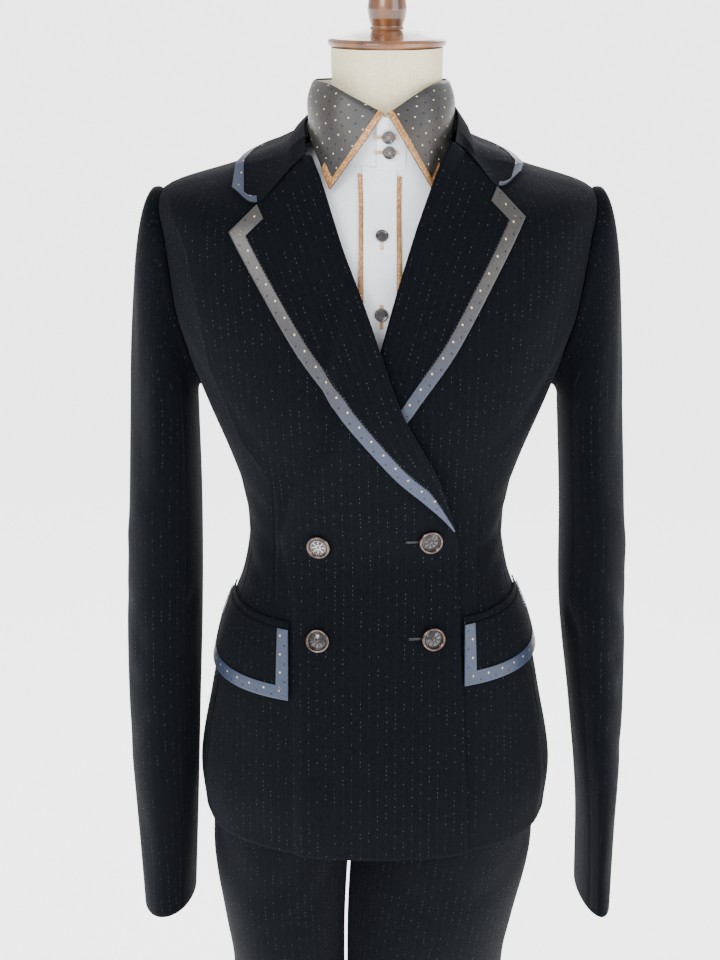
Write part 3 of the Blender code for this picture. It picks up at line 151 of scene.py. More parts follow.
@dataclass(frozen=True)
class Rings:
    """A surface through level rings.

    A row gives half the width, the height at the side, then depth and height at the front and at
    the back, and the shift across.
    """

    rows: tuple[tuple[float, ...], ...]
    SQUARE: float = 0.05       # how much the rings bulge between their quarters
    TURN_STEP: float = 1.5     # the reach of a direction's reading, in degrees and in rows
    ROW_STEP: float = 0.08
    EDGE: float = 4.0          # how near to the side lines a place is looked for, in degrees
    HALVINGS: int = 30
    STEPS: int = 24

    @property
    def last(self) -> int:
        """The number of the top row."""
        return len(self.rows) - 1

    def point(self, side: Grid, turn: Grid, row: Grid) -> Grid:
        """Points of the surface.

        Args:
            side: -1 or 1, one for all or one each.
            turn: angles from the side line, in degrees.
            row: places up the table.

        Returns:
            An array of points with the shape of turn and row, and 3.
        """
        side, turn, row = np.broadcast_arrays(side, np.radians(turn), row)
        ring = smooth_read(np.arange(len(self.rows)), np.array(self.rows), row)
        half, side_z, front, front_z, back, back_z, shift = np.moveaxis(ring, -1, 0)
        ahead = turn >= 0
        depth, end_z = np.where(ahead, front, back), np.where(ahead, front_z, back_z)
        square = 1 + self.SQUARE * np.sin(2 * turn) ** 2
        return np.stack((side * half * np.cos(turn) * square + shift,
                         -depth * np.sin(turn) * square,
                         side_z + (end_z - side_z) * np.sin(turn) ** 2), axis=-1)

    def normal(self, side: Grid, turn: Grid, row: Grid) -> Grid:
        """The outward directions of the surface at the same places."""
        turn, row = np.broadcast_arrays(np.asarray(turn, dtype=float), np.asarray(row, dtype=float))
        along = self.point(side, turn + self.TURN_STEP, row) - self.point(side, turn - self.TURN_STEP, row)
        up = (self.point(side, turn, np.minimum(row + self.ROW_STEP, self.last))
              - self.point(side, turn, np.maximum(row - self.ROW_STEP, 0)))
        return unit(np.cross(along, up) * -np.asarray(side)[..., None])

    def lifted(self, side: Grid, turn: Grid, row: Grid, lift: Grid) -> Grid:
        """Points moved out along the surface's own directions."""
        return self.point(side, turn, row) + self.normal(side, turn, row) * np.asarray(lift)[..., None]

    def patch(self, side: int, turn: Grid, rows: Grid) -> tuple[Grid, Grid]:
        """Points and directions of a grid of turns, each line of it at its own row."""
        rows = np.broadcast_to(rows, turn.shape)
        return self.point(side, turn, rows), self.normal(side, turn, rows)

    def locate(self, side: int, across: Grid, height: Grid) -> tuple[Grid, Grid]:
        """The places at which the front of the surface has an (across, height).

        Args:
            side: the side whose turns are given.
            across: X of each point.
            height: Z of each point.

        Returns:
            Turns and rows, of the shape of across.
        """
        across, height = np.broadcast_arrays(np.asarray(across, float), np.asarray(height, float))
        first, final = self.EDGE, 180.0 - self.EDGE
        low, high = np.full(across.shape, first), np.full(across.shape, final)
        top = np.full(across.shape, float(self.last))
        for _ in range(self.HALVINGS):
            middle = (low + high) / 2
            inside = side * (self.point(side, middle, top)[..., 0] - across) > 0
            low, high = np.where(inside, middle, low), np.where(inside, high, middle)
        above = (self.point(side, low, top)[..., 2] <= height) & (low > first + 1) & (low < final - 1)
        turn, row = np.full(across.shape, 60.0), np.full(across.shape, 0.45 * len(self.rows))
        for _ in range(self.STEPS):
            here = self.point(side, turn, row)
            nudge = np.where(row < self.last - 0.03, 0.02, -0.02)
            by_turn = (self.point(side, turn + 0.5, row) - here) / 0.5
            by_row = (self.point(side, turn, row + nudge) - here) / nudge[..., None]
            a, b, c, d = by_turn[..., 0], by_row[..., 0], by_turn[..., 2], by_row[..., 2]
            ex, ez = across - here[..., 0], height - here[..., 2]
            det = a * d - b * c
            det = np.where(np.abs(det) < 1e-12, 1e-12, det)
            turn = np.clip(turn + np.clip((d * ex - b * ez) / det, -25, 25), first, final)
            row = np.clip(row + np.clip((a * ez - c * ex) / det, -1.5, 1.5), 0.0, self.last)
        return np.where(above, low, turn), np.where(above, top, row)

    def turn_across(self, side: int, row: Grid, goal: Grid, by_side: bool = False) -> Grid:
        """The turn at which rows of the front pass a distance across.

        Args:
            side: the side whose turns are given.
            row: places up the table.
            goal: a distance across, or a function of the height that gives it.
            by_side: the goal is measured with -side as its sign, as outlines are.

        Returns:
            One turn for each row.
        """
        low, high = np.full(np.shape(row), 1.0), np.full(np.shape(row), 179.0)
        for _ in range(40):
            middle = (low + high) / 2
            here = self.point(side, middle, row)
            aim = goal(here[..., 2]) if callable(goal) else goal
            inside = -side * here[..., 0] < aim if by_side else side * (here[..., 0] - aim) > 0
            low, high = np.where(inside, middle, low), np.where(inside, high, middle)
        return low


def from_middle(points: Grid) -> Grid:
    """How far each point of a grid is before the middle one of its line."""
    arc = run_length(points, 1)
    return arc[:, arc.shape[1] // 2][:, None] - arc


# ---- creases -----------------------------------------------------------------------------------
@dataclass(frozen=True)
class Crease:
    """A soft trough, or a ridge where depth is below zero, along a straight run in space."""

    start: tuple[float, float, float]
    end: tuple[float, float, float]
    depth: float
    width: float
    bow: float = 0.0

    def press(self, points: Grid) -> Grid:
        """How far points sink for this crease.

        Args:
            points: an array of points.

        Returns:
            The depth at each, which fades at both ends of the run.
        """
        a, b = np.array(self.start), np.array(self.end)
        run = b - a
        length = np.linalg.norm(run)
        share = np.clip((points - a) @ run / length ** 2, -0.3, 1.3)
        side = unit(np.cross(run, (0.0, 1.0, 0.0)))
        middle = a + share[..., None] * run + (np.sin(np.pi * share) * self.bow)[..., None] * side
        away = np.linalg.norm(points - middle, axis=-1)
        fade = smoothstep(-0.25, 0.25, share) * smoothstep(1.25, 0.75, share)
        return self.depth * fade * np.exp(-(away / self.width) ** 2)


def creased(points: Grid, normals: Grid, creases: tuple[Crease, ...], most: float = 0.004) -> Grid:
    """Points moved along their normals by creases.

    Args:
        points: a grid of points.
        normals: their outward directions.
        creases: the troughs and ridges to press in.
        most: the furthest that any point moves.

    Returns:
        The moved points.
    """
    total = np.zeros(points.shape[:-1])
    for crease in creases:
        total += crease.press(points)
    return points - normals * np.clip(total, -most, most)[..., None]


# ---- meshes ------------------------------------------------------------------------------------
def linked(name: str, data: bpy.types.ID) -> Piece:
    """A new object of a mesh, lamp or camera, linked to the scene."""
    thing = bpy.data.objects.new(name, data)
    bpy.context.scene.collection.objects.link(thing)
    return thing


def new_object(name: str, verts: Grid, faces: list, uvs: Grid | None = None) -> Piece:
    """A mesh object at the origin, smooth, with its cut as a UV map.

    Args:
        name: the piece's name.
        verts: the points.
        faces: tuples of point numbers.
        uvs: the place of each point on its flat cut, in metres.

    Returns:
        The new object, linked to the scene.
    """
    mesh = bpy.data.meshes.new(name)
    mesh.from_pydata(np.asarray(verts, dtype=float).tolist(), [], faces)
    mesh.update()
    if uvs is not None:
        layer = mesh.uv_layers.new(name="cut")
        order = np.zeros(len(mesh.loops), dtype=np.int32)
        mesh.loops.foreach_get("vertex_index", order)
        layer.data.foreach_set("uv", np.asarray(uvs, dtype=np.float32)[order].ravel())
    mesh.shade_smooth()
    mesh.set_sharp_from_angle(angle=math.radians(SHARP))
    return linked(name, mesh)


@dataclass
class Panel:
    """A cut piece of cloth as a grid of points, with outward directions and a flat cut."""

    points: Grid
    normals: Grid
    cut: Grid
    keep: Grid | None = None
    ROUND: float = 0.55

    def corners(self) -> Grid:
        """How many kept cells meet at each point."""
        kept = ~no_cells(self.points) if self.keep is None else self.keep
        met = np.zeros(self.points.shape[:2], dtype=int)
        for a in (0, 1):
            for b in (0, 1):
                met[a:a + kept.shape[0], b:b + kept.shape[1]] += kept
        return met

    def shell(self, name: str, low: Grid, high: Grid) -> Piece:
        """A closed shell over the kept cells, its edges rounded.

        Args:
            name: the piece's name.
            low: the inner face, measured along the normals.
            high: the outer face.

        Returns:
            The piece.
        """
        kept = ~no_cells(self.points) if self.keep is None else self.keep
        corners = self.corners()
        used = corners > 0
        low, high = np.broadcast_to(low, used.shape), np.broadcast_to(high, used.shape)
        middle, half = (low + high) / 2, (high - low) / 2
        half = np.where(corners < 4, half * self.ROUND, half)
        number = np.full(used.shape, -1)
        number[used] = np.arange(np.count_nonzero(used))
        place, out = self.points[used], self.normals[used]
        outer = place + out * (middle + half)[used][:, None]
        inner = place + out * (middle - half)[used][:, None]
        count = len(place)
        i, j = np.nonzero(kept)
        quads = np.stack((number[i, j], number[i, j + 1], number[i + 1, j + 1], number[i + 1, j]), axis=1)
        face_out = np.cross(outer[quads[:, 1]] - outer[quads[:, 0]], outer[quads[:, 3]] - outer[quads[:, 0]])
        if np.sum(face_out * out[quads[:, 0]]) < 0:
            quads = quads[:, ::-1]
        edges = np.concatenate([quads[:, [k, (k + 1) % 4]] for k in range(4)])
        forward = {(int(a), int(b)) for a, b in edges}
        rim = [edge for edge in forward if edge[::-1] not in forward]
        faces = quads.tolist() + (quads[:, ::-1] + count).tolist()
        faces += [(b, a, a + count, b + count) for a, b in sorted(rim)]
        cut = self.cut[used]
        return new_object(name, np.concatenate((outer, inner)), faces, np.concatenate((cut, cut)))

    @classmethod
    def laid(cls, points: Grid, normals: Grid, across: Grid | None = None, keep: Grid | None = None,
             upright: bool = True) -> Panel:
        """A panel whose cut follows its cloth.

        Args:
            points: its points.
            normals: their directions.
            across: the cut's own distances across, or none for those along each line.
            keep: the cells that it has, or none for all.
            upright: the length of the cut runs from line to line, not along the lines.

        Returns:
            The panel.
        """
        along, girth = (0, 1) if upright else (1, 0)
        across = run_length(points, girth) if across is None else across
        return cls(points, normals, np.stack((across, run_length(points, along)), axis=-1), keep)

    def area(self) -> float:
        """The area of the kept cells, in square metres."""
        p = self.points
        first = np.cross(p[1:, 1:] - p[:-1, :-1], p[1:, :-1] - p[:-1, 1:])
        cells = np.linalg.norm(first, axis=2) / 2
        return float(cells.sum() if self.keep is None else cells[self.keep].sum())

    def flat_size(self) -> tuple[float, float]:
        """The width and length of the flat cut's own box."""
        shown = self.cut[self.corners() > 0]
        spread = shown.max(axis=0) - shown.min(axis=0)
        return float(spread[0]), float(spread[1])


def no_cells(points: Grid) -> Grid:
    """A choice of cells of a grid of points with none chosen yet."""
    return np.zeros((points.shape[0] - 1, points.shape[1] - 1), dtype=bool)


def mitred(from_edge: Grid, from_end: Grid, on_edge: Grid, on_end: Grid) -> Grid:
    """The cut of a band round a corner: the distance from the nearer edge, and the place along it."""
    end = from_end < from_edge
    return np.stack((np.where(end, from_end, from_edge), np.where(end, on_end, on_edge)), axis=-1)


def grid_normals(points: Grid, inside: Grid) -> Grid:
    """Directions square to a grid of points, away from a point inside."""
    normals = unit(np.cross(np.gradient(points, axis=0), np.gradient(points, axis=1)))
    return normals if np.sum(normals * (points - np.asarray(inside))) > 0 else -normals


def edged(start: float, end: float, steps: int, edge: float) -> Grid:
    """Even stops from start to end, with one more close to each end, so that an edge rounds there."""
    stops = np.linspace(start, end, steps)
    return np.concatenate(([start, start + (end - start) * edge], stops[1:-1],
                           [end - (end - start) * edge, end]))


def turned(name: str, profile: Grid, middle: tuple[float, float] = (0.0, 0.0),
           sides: int = 96) -> Piece:
    """A solid turned about an upright line.

    Args:
        name: the piece's name.
        profile: (radius, height) pairs from the bottom to the top, both ends on the line.
        middle: the line's X and Y.
        sides: faces around.

    Returns:
        The piece, with its girth and height as its cut.
    """
    profile = np.asarray(profile, dtype=float)
    angles = np.linspace(0, 2 * math.pi, sides, endpoint=False)
    verts, rings = [], []
    for radius, height in profile:
        if radius == 0:
            rings.append([len(verts)] * sides)
            verts.append((middle[0], middle[1], height))
            continue
        rings.append(list(range(len(verts), len(verts) + sides)))
        verts += [(middle[0] + radius * math.cos(a), middle[1] + radius * math.sin(a), height)
                  for a in angles]
    faces = []
    for low, high in zip(rings, rings[1:]):
        for k in range(sides):
            n = (k + 1) % sides
            corners = (low[k], low[n], high[n], high[k])
            faces.append(tuple(dict.fromkeys(corners)))
    return new_object(name, verts, [face for face in faces if len(face) > 2])


def joined(name: str, parts: list[Piece]) -> Piece:
    """Several mesh objects made one, their material slots kept.

    Args:
        name: the new piece's name.
        parts: the objects, which are used up.

    Returns:
        The new piece.
    """
    target = bmesh.new()
    mesh = bpy.data.meshes.new(name)
    for part in parts:
        offset = len(mesh.materials)
        for material in part.data.materials:
            mesh.materials.append(material)
        known = set(target.faces)
        target.from_mesh(part.data)
        for face in target.faces:
            if face not in known:
                face.material_index += offset
    target.to_mesh(mesh)
    target.free()
    for part in parts:
        bpy.data.objects.remove(part, do_unlink=True)
    return linked(name, mesh)


# ---- finishes ----------------------------------------------------------------------------------
class NodeTree:
    """A node tree with short ways to add and join its nodes."""

    tree: bpy.types.NodeTree

    def node(self, kind: str, **facts: object) -> bpy.types.Node:
        """A new node with its properties set."""
        node = self.tree.nodes.new(kind)
        for name, value in facts.items():
            setattr(node, name, value)
        return node

    def feed(self, socket: Socket, value: object) -> None:
        """Give a socket a link or a constant."""
        if isinstance(value, Socket):
            self.tree.links.new(value, socket)
        else:
            socket.default_value = value


class Shade(NodeTree):
    """A material's node tree, with one method for each kind of node used here."""

    def __init__(self, name: str, colour: Colour, roughness: float, metallic: float = 0.0) -> None:
        """Start a material on a Principled shader.

        Args:
            name: the material's name.
            colour: base colour.
            roughness: roughness of the whole surface.
            metallic: metallic share of the whole surface.
        """
        self.material = bpy.data.materials.new(name)
        self.material.use_nodes = True
        self.tree = self.material.node_tree
        self.shader = self.tree.nodes["Principled BSDF"]
        self.set("Base Color", (*colour, 1.0))
        self.set("Roughness", roughness)
        self.set("Metallic", metallic)

    def set(self, socket: str, value: object) -> None:
        """Set a constant on the shader's own socket."""
        self.shader.inputs[socket].default_value = value

    def link(self, value: Socket, socket: str) -> None:
        """Feed a socket of the shader."""
        self.tree.links.new(value, self.shader.inputs[socket])

    def math(self, operation: str, a: object, b: object = 0.0) -> Socket:
        """A Math node's result."""
        node = self.node("ShaderNodeMath", operation=operation)
        for socket, value in zip(node.inputs, (a, b)):
            self.feed(socket, value)
        return node.outputs[0]

    def times(self, a: object, b: object) -> Socket:
        """One value times another."""
        return self.math("MULTIPLY", a, b)

    def plus(self, a: object, b: object) -> Socket:
        """The sum of two values."""
        return self.math("ADD", a, b)

    def minus(self, a: object, b: object) -> Socket:
        """One value less another."""
        return self.math("SUBTRACT", a, b)

    def cut(self) -> tuple[Socket, Socket]:
        """The place on the piece's flat cut: across and along, in metres."""
        return self.split(self.node("ShaderNodeUVMap", uv_map="cut").outputs[0])[:2]

    def split(self, vector: Socket) -> tuple[Socket, ...]:
        """The three values of a vector."""
        node = self.node("ShaderNodeSeparateXYZ")
        self.feed(node.inputs[0], vector)
        return tuple(node.outputs)

    def place(self) -> Socket:
        """The place in space, in the piece's own coordinates."""
        return self.node("ShaderNodeTexCoord").outputs["Object"]

    def noise(self, scale: float, detail: float = 3.0, stretch: tuple = (1, 1, 1)) -> Socket:
        """Noise about 0.5, stretched by a scale on each axis.

        Args:
            scale: how fine it is.
            detail: how many finer layers it has.
            stretch: the scale on each axis.

        Returns:
            Its value.
        """
        mapping = self.node("ShaderNodeMapping")
        self.feed(mapping.inputs["Vector"], self.place())
        mapping.inputs["Scale"].default_value = stretch
        node = self.node("ShaderNodeTexNoise")
        node.inputs["Scale"].default_value = scale
        node.inputs["Detail"].default_value = detail
        self.feed(node.inputs["Vector"], mapping.outputs[0])
        return node.outputs["Fac"]

    def chance(self, x: object, y: object, z: object = 0.0) -> Socket:
        """An even random value for each place."""
        place = self.node("ShaderNodeCombineXYZ")
        for socket, value in zip(place.inputs, (x, y, z)):
            self.feed(socket, value)
        node = self.node("ShaderNodeTexWhiteNoise", noise_dimensions="3D")
        self.feed(node.inputs["Vector"], place.outputs[0])
        return node.outputs["Value"]

    def ramp(self, value: object, low: float, high: float, start: float = 0.0, end: float = 1.0) -> Socket:
        """A value carried from one range to another, held at its ends."""
        node = self.node("ShaderNodeMapRange", interpolation_type="SMOOTHSTEP")
        for socket, number in zip(node.inputs[:5], (value, low, high, start, end)):
            self.feed(socket, number)
        return node.outputs[0]

    def blend(self, share: object, first: object, second: object) -> Socket:
        """Two colours mixed."""
        node = self.node("ShaderNodeMix", data_type="RGBA")
        self.feed(node.inputs["Factor"], share)
        colours = [socket for socket in node.inputs if socket.type == "RGBA"]
        for socket, value in zip(colours, (first, second)):
            self.feed(socket, (*value, 1.0) if isinstance(value, tuple) else value)
        return next(socket for socket in node.outputs if socket.type == "RGBA")

    def raise_by(self, height: Socket, distance: float, strength: float = 1.0) -> None:
        """Raise the surface by a height, as bump."""
        bump = self.node("ShaderNodeBump")
        bump.inputs["Distance"].default_value = distance
        bump.inputs["Strength"].default_value = strength
        self.feed(bump.inputs["Height"], height)
        self.link(bump.outputs[0], "Normal")

    def dots(self, x: Socket, y: Socket, pitch: tuple[float, float], radius: float,
             shift: tuple[float, float] = (0.0, 0.0)) -> Socket:
        """1 inside round dots on a grid, 0 outside.

        Args:
            x: place across.
            y: place along.
            pitch: spacing across and along.
            radius: a dot's radius.
            shift: the first dot's place.

        Returns:
            The dots' share at the place.
        """
        away = []
        for value, step, start in ((x, pitch[0], shift[0]), (y, pitch[1], shift[1])):
            at = self.math("DIVIDE", self.minus(value, start), step)
            near = self.minus(at, self.math("ROUND", at))
            away.append(self.times(near, step))
        far = self.math("SQRT", self.plus(self.times(away[0], away[0]), self.times(away[1], away[1])))
        return self.ramp(far, radius * 0.8, radius * 1.15, 1.0, 0.0)


THREAD_STRETCH = (1, 1, 0.2)     # a rib's noise runs up the piece
RIB_SCALE = 1500.0
RIB_RELIEF = 0.00010


@dataclass(frozen=True)
class Suiting:
    """Near-black navy twill with pinstripes of fine silver flecks."""

    ground: Colour = (0.0004, 0.0008, 0.0018)
    lift: Colour = (0.0016, 0.0026, 0.0046)
    fleck: Colour = (0.048, 0.054, 0.064)
    thread: Colour = (0.0036, 0.0045, 0.0064)
    pitch: float = 0.0078
    fleck_step: float = 0.0042
    fleck_share: float = 0.34
    line_half: tuple[float, float] = (0.00014, 0.00036)
    twill: float = 0.0011
    roughness: float = 0.86
    fleck_roughness: float = 0.42
    relief: float = 0.00014

    def material(self) -> Material:
        """The cloth's material, on the cut."""
        shade = Shade("suiting", self.ground, self.roughness)
        u, v = shade.cut()
        stripe = shade.math("ROUND", shade.math("DIVIDE", u, self.pitch))
        off = shade.math("ABSOLUTE", shade.minus(u, shade.times(stripe, self.pitch)))
        line = shade.ramp(off, *self.line_half, 1.0, 0.0)
        slide = shade.times(shade.chance(stripe, 3.7), self.fleck_step)
        along = shade.math("DIVIDE", shade.plus(v, slide), self.fleck_step)
        cell = shade.math("FLOOR", along)
        spot = shade.math("ABSOLUTE", shade.minus(shade.minus(along, cell), 0.5))
        short = shade.ramp(spot, 0.06, 0.14, 1.0, 0.0)
        shown = shade.ramp(shade.chance(stripe, cell, 1.3), 1 - self.fleck_share, 1 - self.fleck_share * 0.75)
        bright = shade.times(shade.times(line, short), shown)
        weave = shade.noise(900.0, 2.0, (1, 1, 0.35))
        ground = shade.blend(shade.ramp(weave, 0.35, 0.70), self.ground, self.lift)
        lined = shade.blend(shade.times(line, 0.55), ground, self.thread)
        shade.link(shade.blend(bright, lined, self.fleck), "Base Color")
        shade.link(shade.ramp(bright, 0.0, 1.0, self.roughness, self.fleck_roughness), "Roughness")
        shade.set("Sheen Weight", 0.040)
        shade.set("Sheen Roughness", 0.40)
        shade.set("Sheen Tint", (0.55, 0.60, 0.72, 1.0))
        shade.set("Specular IOR Level", 0.07)
        turn = shade.plus(u, shade.times(v, 1.6))
        ribs = shade.math("SINE", shade.times(turn, 2 * math.pi / self.twill))
        shade.raise_by(shade.plus(shade.times(ribs, 0.4), weave), self.relief, 0.8)
        return shade.material


@dataclass(frozen=True)
class DottedSatin:
    """Trim satin, taupe grey above and slate blue below, with a row of light and a row of dark dots; faces
    turned up or aside can be painted slate as painted sheen.
    """

    upper: Colour = (0.027, 0.0255, 0.0248)
    lower: Colour = (0.016, 0.025, 0.052)
    upper_rib: Colour = (0.075, 0.069, 0.066)
    lower_rib: Colour = (0.038, 0.054, 0.100)
    change: tuple[float, float] = (1.15, 1.33)
    light: Colour = (0.60, 0.44, 0.20)
    dark: Colour = (0.001, 0.001, 0.003)
    step: float = 0.0160
    light_from_edge: float = 0.0076
    dark_from_edge: float = 0.0034
    radius: float = 0.00084
    dark_radius: float = 0.00100
    # faces turned this far up or aside are painted slate: a painted sheen that follows the face's direction
    faces_up: tuple[float, float] = (0.52, 0.76)      # a face turned this far up, or aside, shows slate
    faces_aside: tuple[float, float] = (0.55, 0.90)
    drift: float = 0.16
    rib_share: float = 0.35
    roughness: float = 0.40
    # turned: paint the slate on faces turned up or aside, as painted sheen
    turned: bool = True
    name: str = "dotted_satin"

    def material(self) -> Material:
        """The trim's material, with the cut's across as the distance from the edge."""
        shade = Shade(self.name, self.upper, self.roughness)
        u, v = shade.cut()
        height = shade.split(shade.place())[2]
        drift = shade.times(shade.minus(shade.noise(14.0), 0.5), self.drift)
        # painted sheen: the slate colour follows which way a face turns, up or aside
        facing = shade.split(shade.node("ShaderNodeNewGeometry").outputs["Normal"])
        upward = shade.ramp(facing[2], *self.faces_up)
        sideways = shade.ramp(shade.math("ABSOLUTE", facing[0]), *self.faces_aside)
        sheen_by_facing = shade.math("MAXIMUM", upward, sideways)
        share = shade.ramp(shade.plus(height, drift), *self.change)
        if self.turned:
            share = shade.times(share, shade.minus(1.0, sheen_by_facing))
        ground = shade.blend(share, self.lower, self.upper)
        ribs = shade.noise(RIB_SCALE, 1.0, THREAD_STRETCH)
        ground = shade.blend(shade.ramp(ribs, 0.3, 0.7, 0.0, self.rib_share), ground,
                             shade.blend(share, self.lower_rib, self.upper_rib))
        one_row = (1.0, self.step)
        dark = shade.dots(u, v, one_row, self.dark_radius, (self.dark_from_edge, 0.0))
        light = shade.dots(u, v, one_row, self.radius, (self.light_from_edge, self.step / 2))
        ground = shade.blend(dark, ground, self.dark)
        shade.link(shade.blend(light, ground, self.light), "Base Color")
        shade.set("Sheen Weight", 0.10)
        shade.set("Sheen Roughness", 0.3)
        shade.set("Specular IOR Level", 0.40)
        shade.set("Anisotropic", 0.5)
        shade.raise_by(shade.plus(ribs, shade.plus(dark, light)), RIB_RELIEF, 0.7)
        return shade.material


@dataclass(frozen=True)
class LatticeSatin:
    """The same satin for the shirt's collar, its dots on a slanting lattice."""

    ground: Colour = (0.0185, 0.0182, 0.0186)
    warm: Colour = (0.0270, 0.0225, 0.0200)
    light: Colour = (0.62, 0.50, 0.27)
    dark: Colour = (0.001, 0.001, 0.003)
    rib: Colour = (0.062, 0.059, 0.058)
    pitch: tuple[float, float] = (0.0102, 0.0125)
    radius: float = 0.00070
    dark_radius: float = 0.00100
    slant: float = 40.0
    rib_share: float = 0.25
    roughness: float = 0.42

    def material(self) -> Material:
        """The collar cloth's material, on the cut."""
        shade = Shade("lattice_satin", self.ground, self.roughness)
        u, v = shade.cut()
        slant = math.radians(self.slant)
        c, s = math.cos(slant), math.sin(slant)
        along = shade.plus(shade.times(u, c), shade.times(v, s))
        across = shade.minus(shade.times(v, c), shade.times(u, s))
        light = shade.dots(along, across, self.pitch, self.radius)
        dark = shade.dots(along, across, self.pitch, self.dark_radius, (self.pitch[0] / 2, self.pitch[1] / 2))
        ground = shade.blend(shade.ramp(shade.noise(16.0), 0.38, 0.66), self.ground, self.warm)
        ribs = shade.noise(RIB_SCALE, 1.0, THREAD_STRETCH)
        ground = shade.blend(shade.ramp(ribs, 0.3, 0.7, 0.0, self.rib_share), ground, self.rib)
        ground = shade.blend(dark, ground, self.dark)
        shade.link(shade.blend(light, ground, self.light), "Base Color")
        shade.set("Sheen Weight", 0.06)
        shade.set("Sheen Roughness", 0.3)
        shade.set("Specular IOR Level", 0.35)
        shade.raise_by(shade.plus(ribs, shade.plus(dark, light)), RIB_RELIEF, 0.7)
        return shade.material


@dataclass(frozen=True)
class Weave:
    """A plain woven cloth: shirting or the form's linen."""

    name: str
    first: Colour
    second: Colour
    scale: float
    relief: float
    roughness: float
    patch: float = 20.0

    def material(self) -> Material:
        """The cloth's material, with crossed threads and a soft unevenness."""
        shade = Shade(self.name, self.first, self.roughness)
        warp = shade.noise(self.scale, 2.0, (1, 1, 0.12))
        weft = shade.noise(self.scale, 2.0, (0.25, 0.25, 1.6))
        threads = shade.plus(warp, weft)
        patch = shade.noise(self.patch, 2.0)
        share = shade.plus(shade.times(threads, 0.5), shade.times(shade.minus(patch, 0.5), 0.8))
        shade.link(shade.blend(shade.ramp(share, 0.32, 0.72), self.first, self.second), "Base Color")
        shade.set("Sheen Weight", 0.08)
        shade.set("Specular IOR Level", 0.25)
        shade.raise_by(threads, self.relief, 0.7)
        return shade.material


@dataclass(frozen=True)
class GlitterTape:
    """Copper piping tape with a fine glitter."""

    ground: Colour = (0.240, 0.112, 0.034)
    glint: Colour = (0.60, 0.34, 0.13)
    grain: float = 1500.0

    def material(self) -> Material:
        """The tape's material, with a chance glint in each grain."""
        shade = Shade("glitter_tape", self.ground, 0.42, 0.25)
        cells = shade.node("ShaderNodeTexVoronoi")
        cells.inputs["Scale"].default_value = self.grain
        shade.feed(cells.inputs["Vector"], shade.place())
        split = shade.node("ShaderNodeSeparateColor")
        shade.feed(split.inputs[0], cells.outputs["Color"])
        spark = shade.ramp(split.outputs[0], 0.62, 0.95)
        shade.link(shade.blend(spark, self.ground, self.glint), "Base Color")
        shade.link(shade.ramp(split.outputs[1], 0.0, 1.0, 0.28, 0.60), "Roughness")
        shade.raise_by(split.outputs[2], 0.00012, 0.8)
        return shade.material


@dataclass(frozen=True)
class Varnished:
    """Varnished wood with grain that runs up or across."""

    name: str
    dark: Colour = (0.055, 0.014, 0.0025)
    pale: Colour = (0.185, 0.062, 0.009)
    stretch: tuple = (1.0, 1.0, 0.18)

    def material(self) -> Material:
        """The wood's material under a clear coat."""
        shade = Shade(self.name, self.pale, 0.34)
        grain = shade.noise(90.0, 6.0, self.stretch)
        bands = shade.noise(18.0, 2.0, self.stretch)
        mixed = shade.plus(shade.times(grain, 0.55), shade.times(bands, 0.45))
        shade.link(shade.blend(shade.ramp(mixed, 0.36, 0.66), self.dark, self.pale), "Base Color")
        shade.link(shade.ramp(grain, 0.3, 0.7, 0.26, 0.42), "Roughness")
        shade.set("Coat Weight", 0.7)
        shade.set("Coat Roughness", 0.08)
        shade.raise_by(grain, 0.0002, 0.35)
        return shade.material


@dataclass(frozen=True)
class Polished:
    """A polished hard finish: metal, smoked shell or enamel."""

    name: str
    colour: Colour
    tint: Colour
    roughness: float
    metallic: float
    coat: float = 0.0
    scale: float = 350.0

    def material(self) -> Material:
        """The finish's material, with faint handling marks."""
        shade = Shade(self.name, self.colour, self.roughness, self.metallic)
        cloud = shade.noise(self.scale, 4.0)
        shade.link(shade.blend(shade.ramp(cloud, 0.35, 0.65), self.colour, self.tint), "Base Color")
        shade.link(shade.ramp(cloud, 0.3, 0.7, self.roughness * 0.8, self.roughness * 1.3), "Roughness")
        shade.set("Coat Weight", self.coat)
        shade.set("Coat Roughness", 0.05)
        shade.raise_by(shade.noise(self.scale * 5, 2.0), 0.00002, 0.5)
        return shade.material


@dataclass(frozen=True)
class Twist:
    """Sewing thread, twisted along its length."""

    name: str
    colour: Colour
    pale: Colour

    def material(self) -> Material:
        """The thread's material."""
        shade = Shade(self.name, self.colour, 0.62)
        fibres = shade.noise(2600.0, 2.0, (1, 1, 0.6))
        shade.link(shade.blend(shade.ramp(fibres, 0.35, 0.7), self.colour, self.pale), "Base Color")
        shade.set("Sheen Weight", 0.3)
        shade.raise_by(fibres, 0.00006, 0.8)
        return shade.material


def made(finish: object) -> Material:
    """A field that holds a finish's material, made with its owner."""
    return field(default_factory=finish.material)


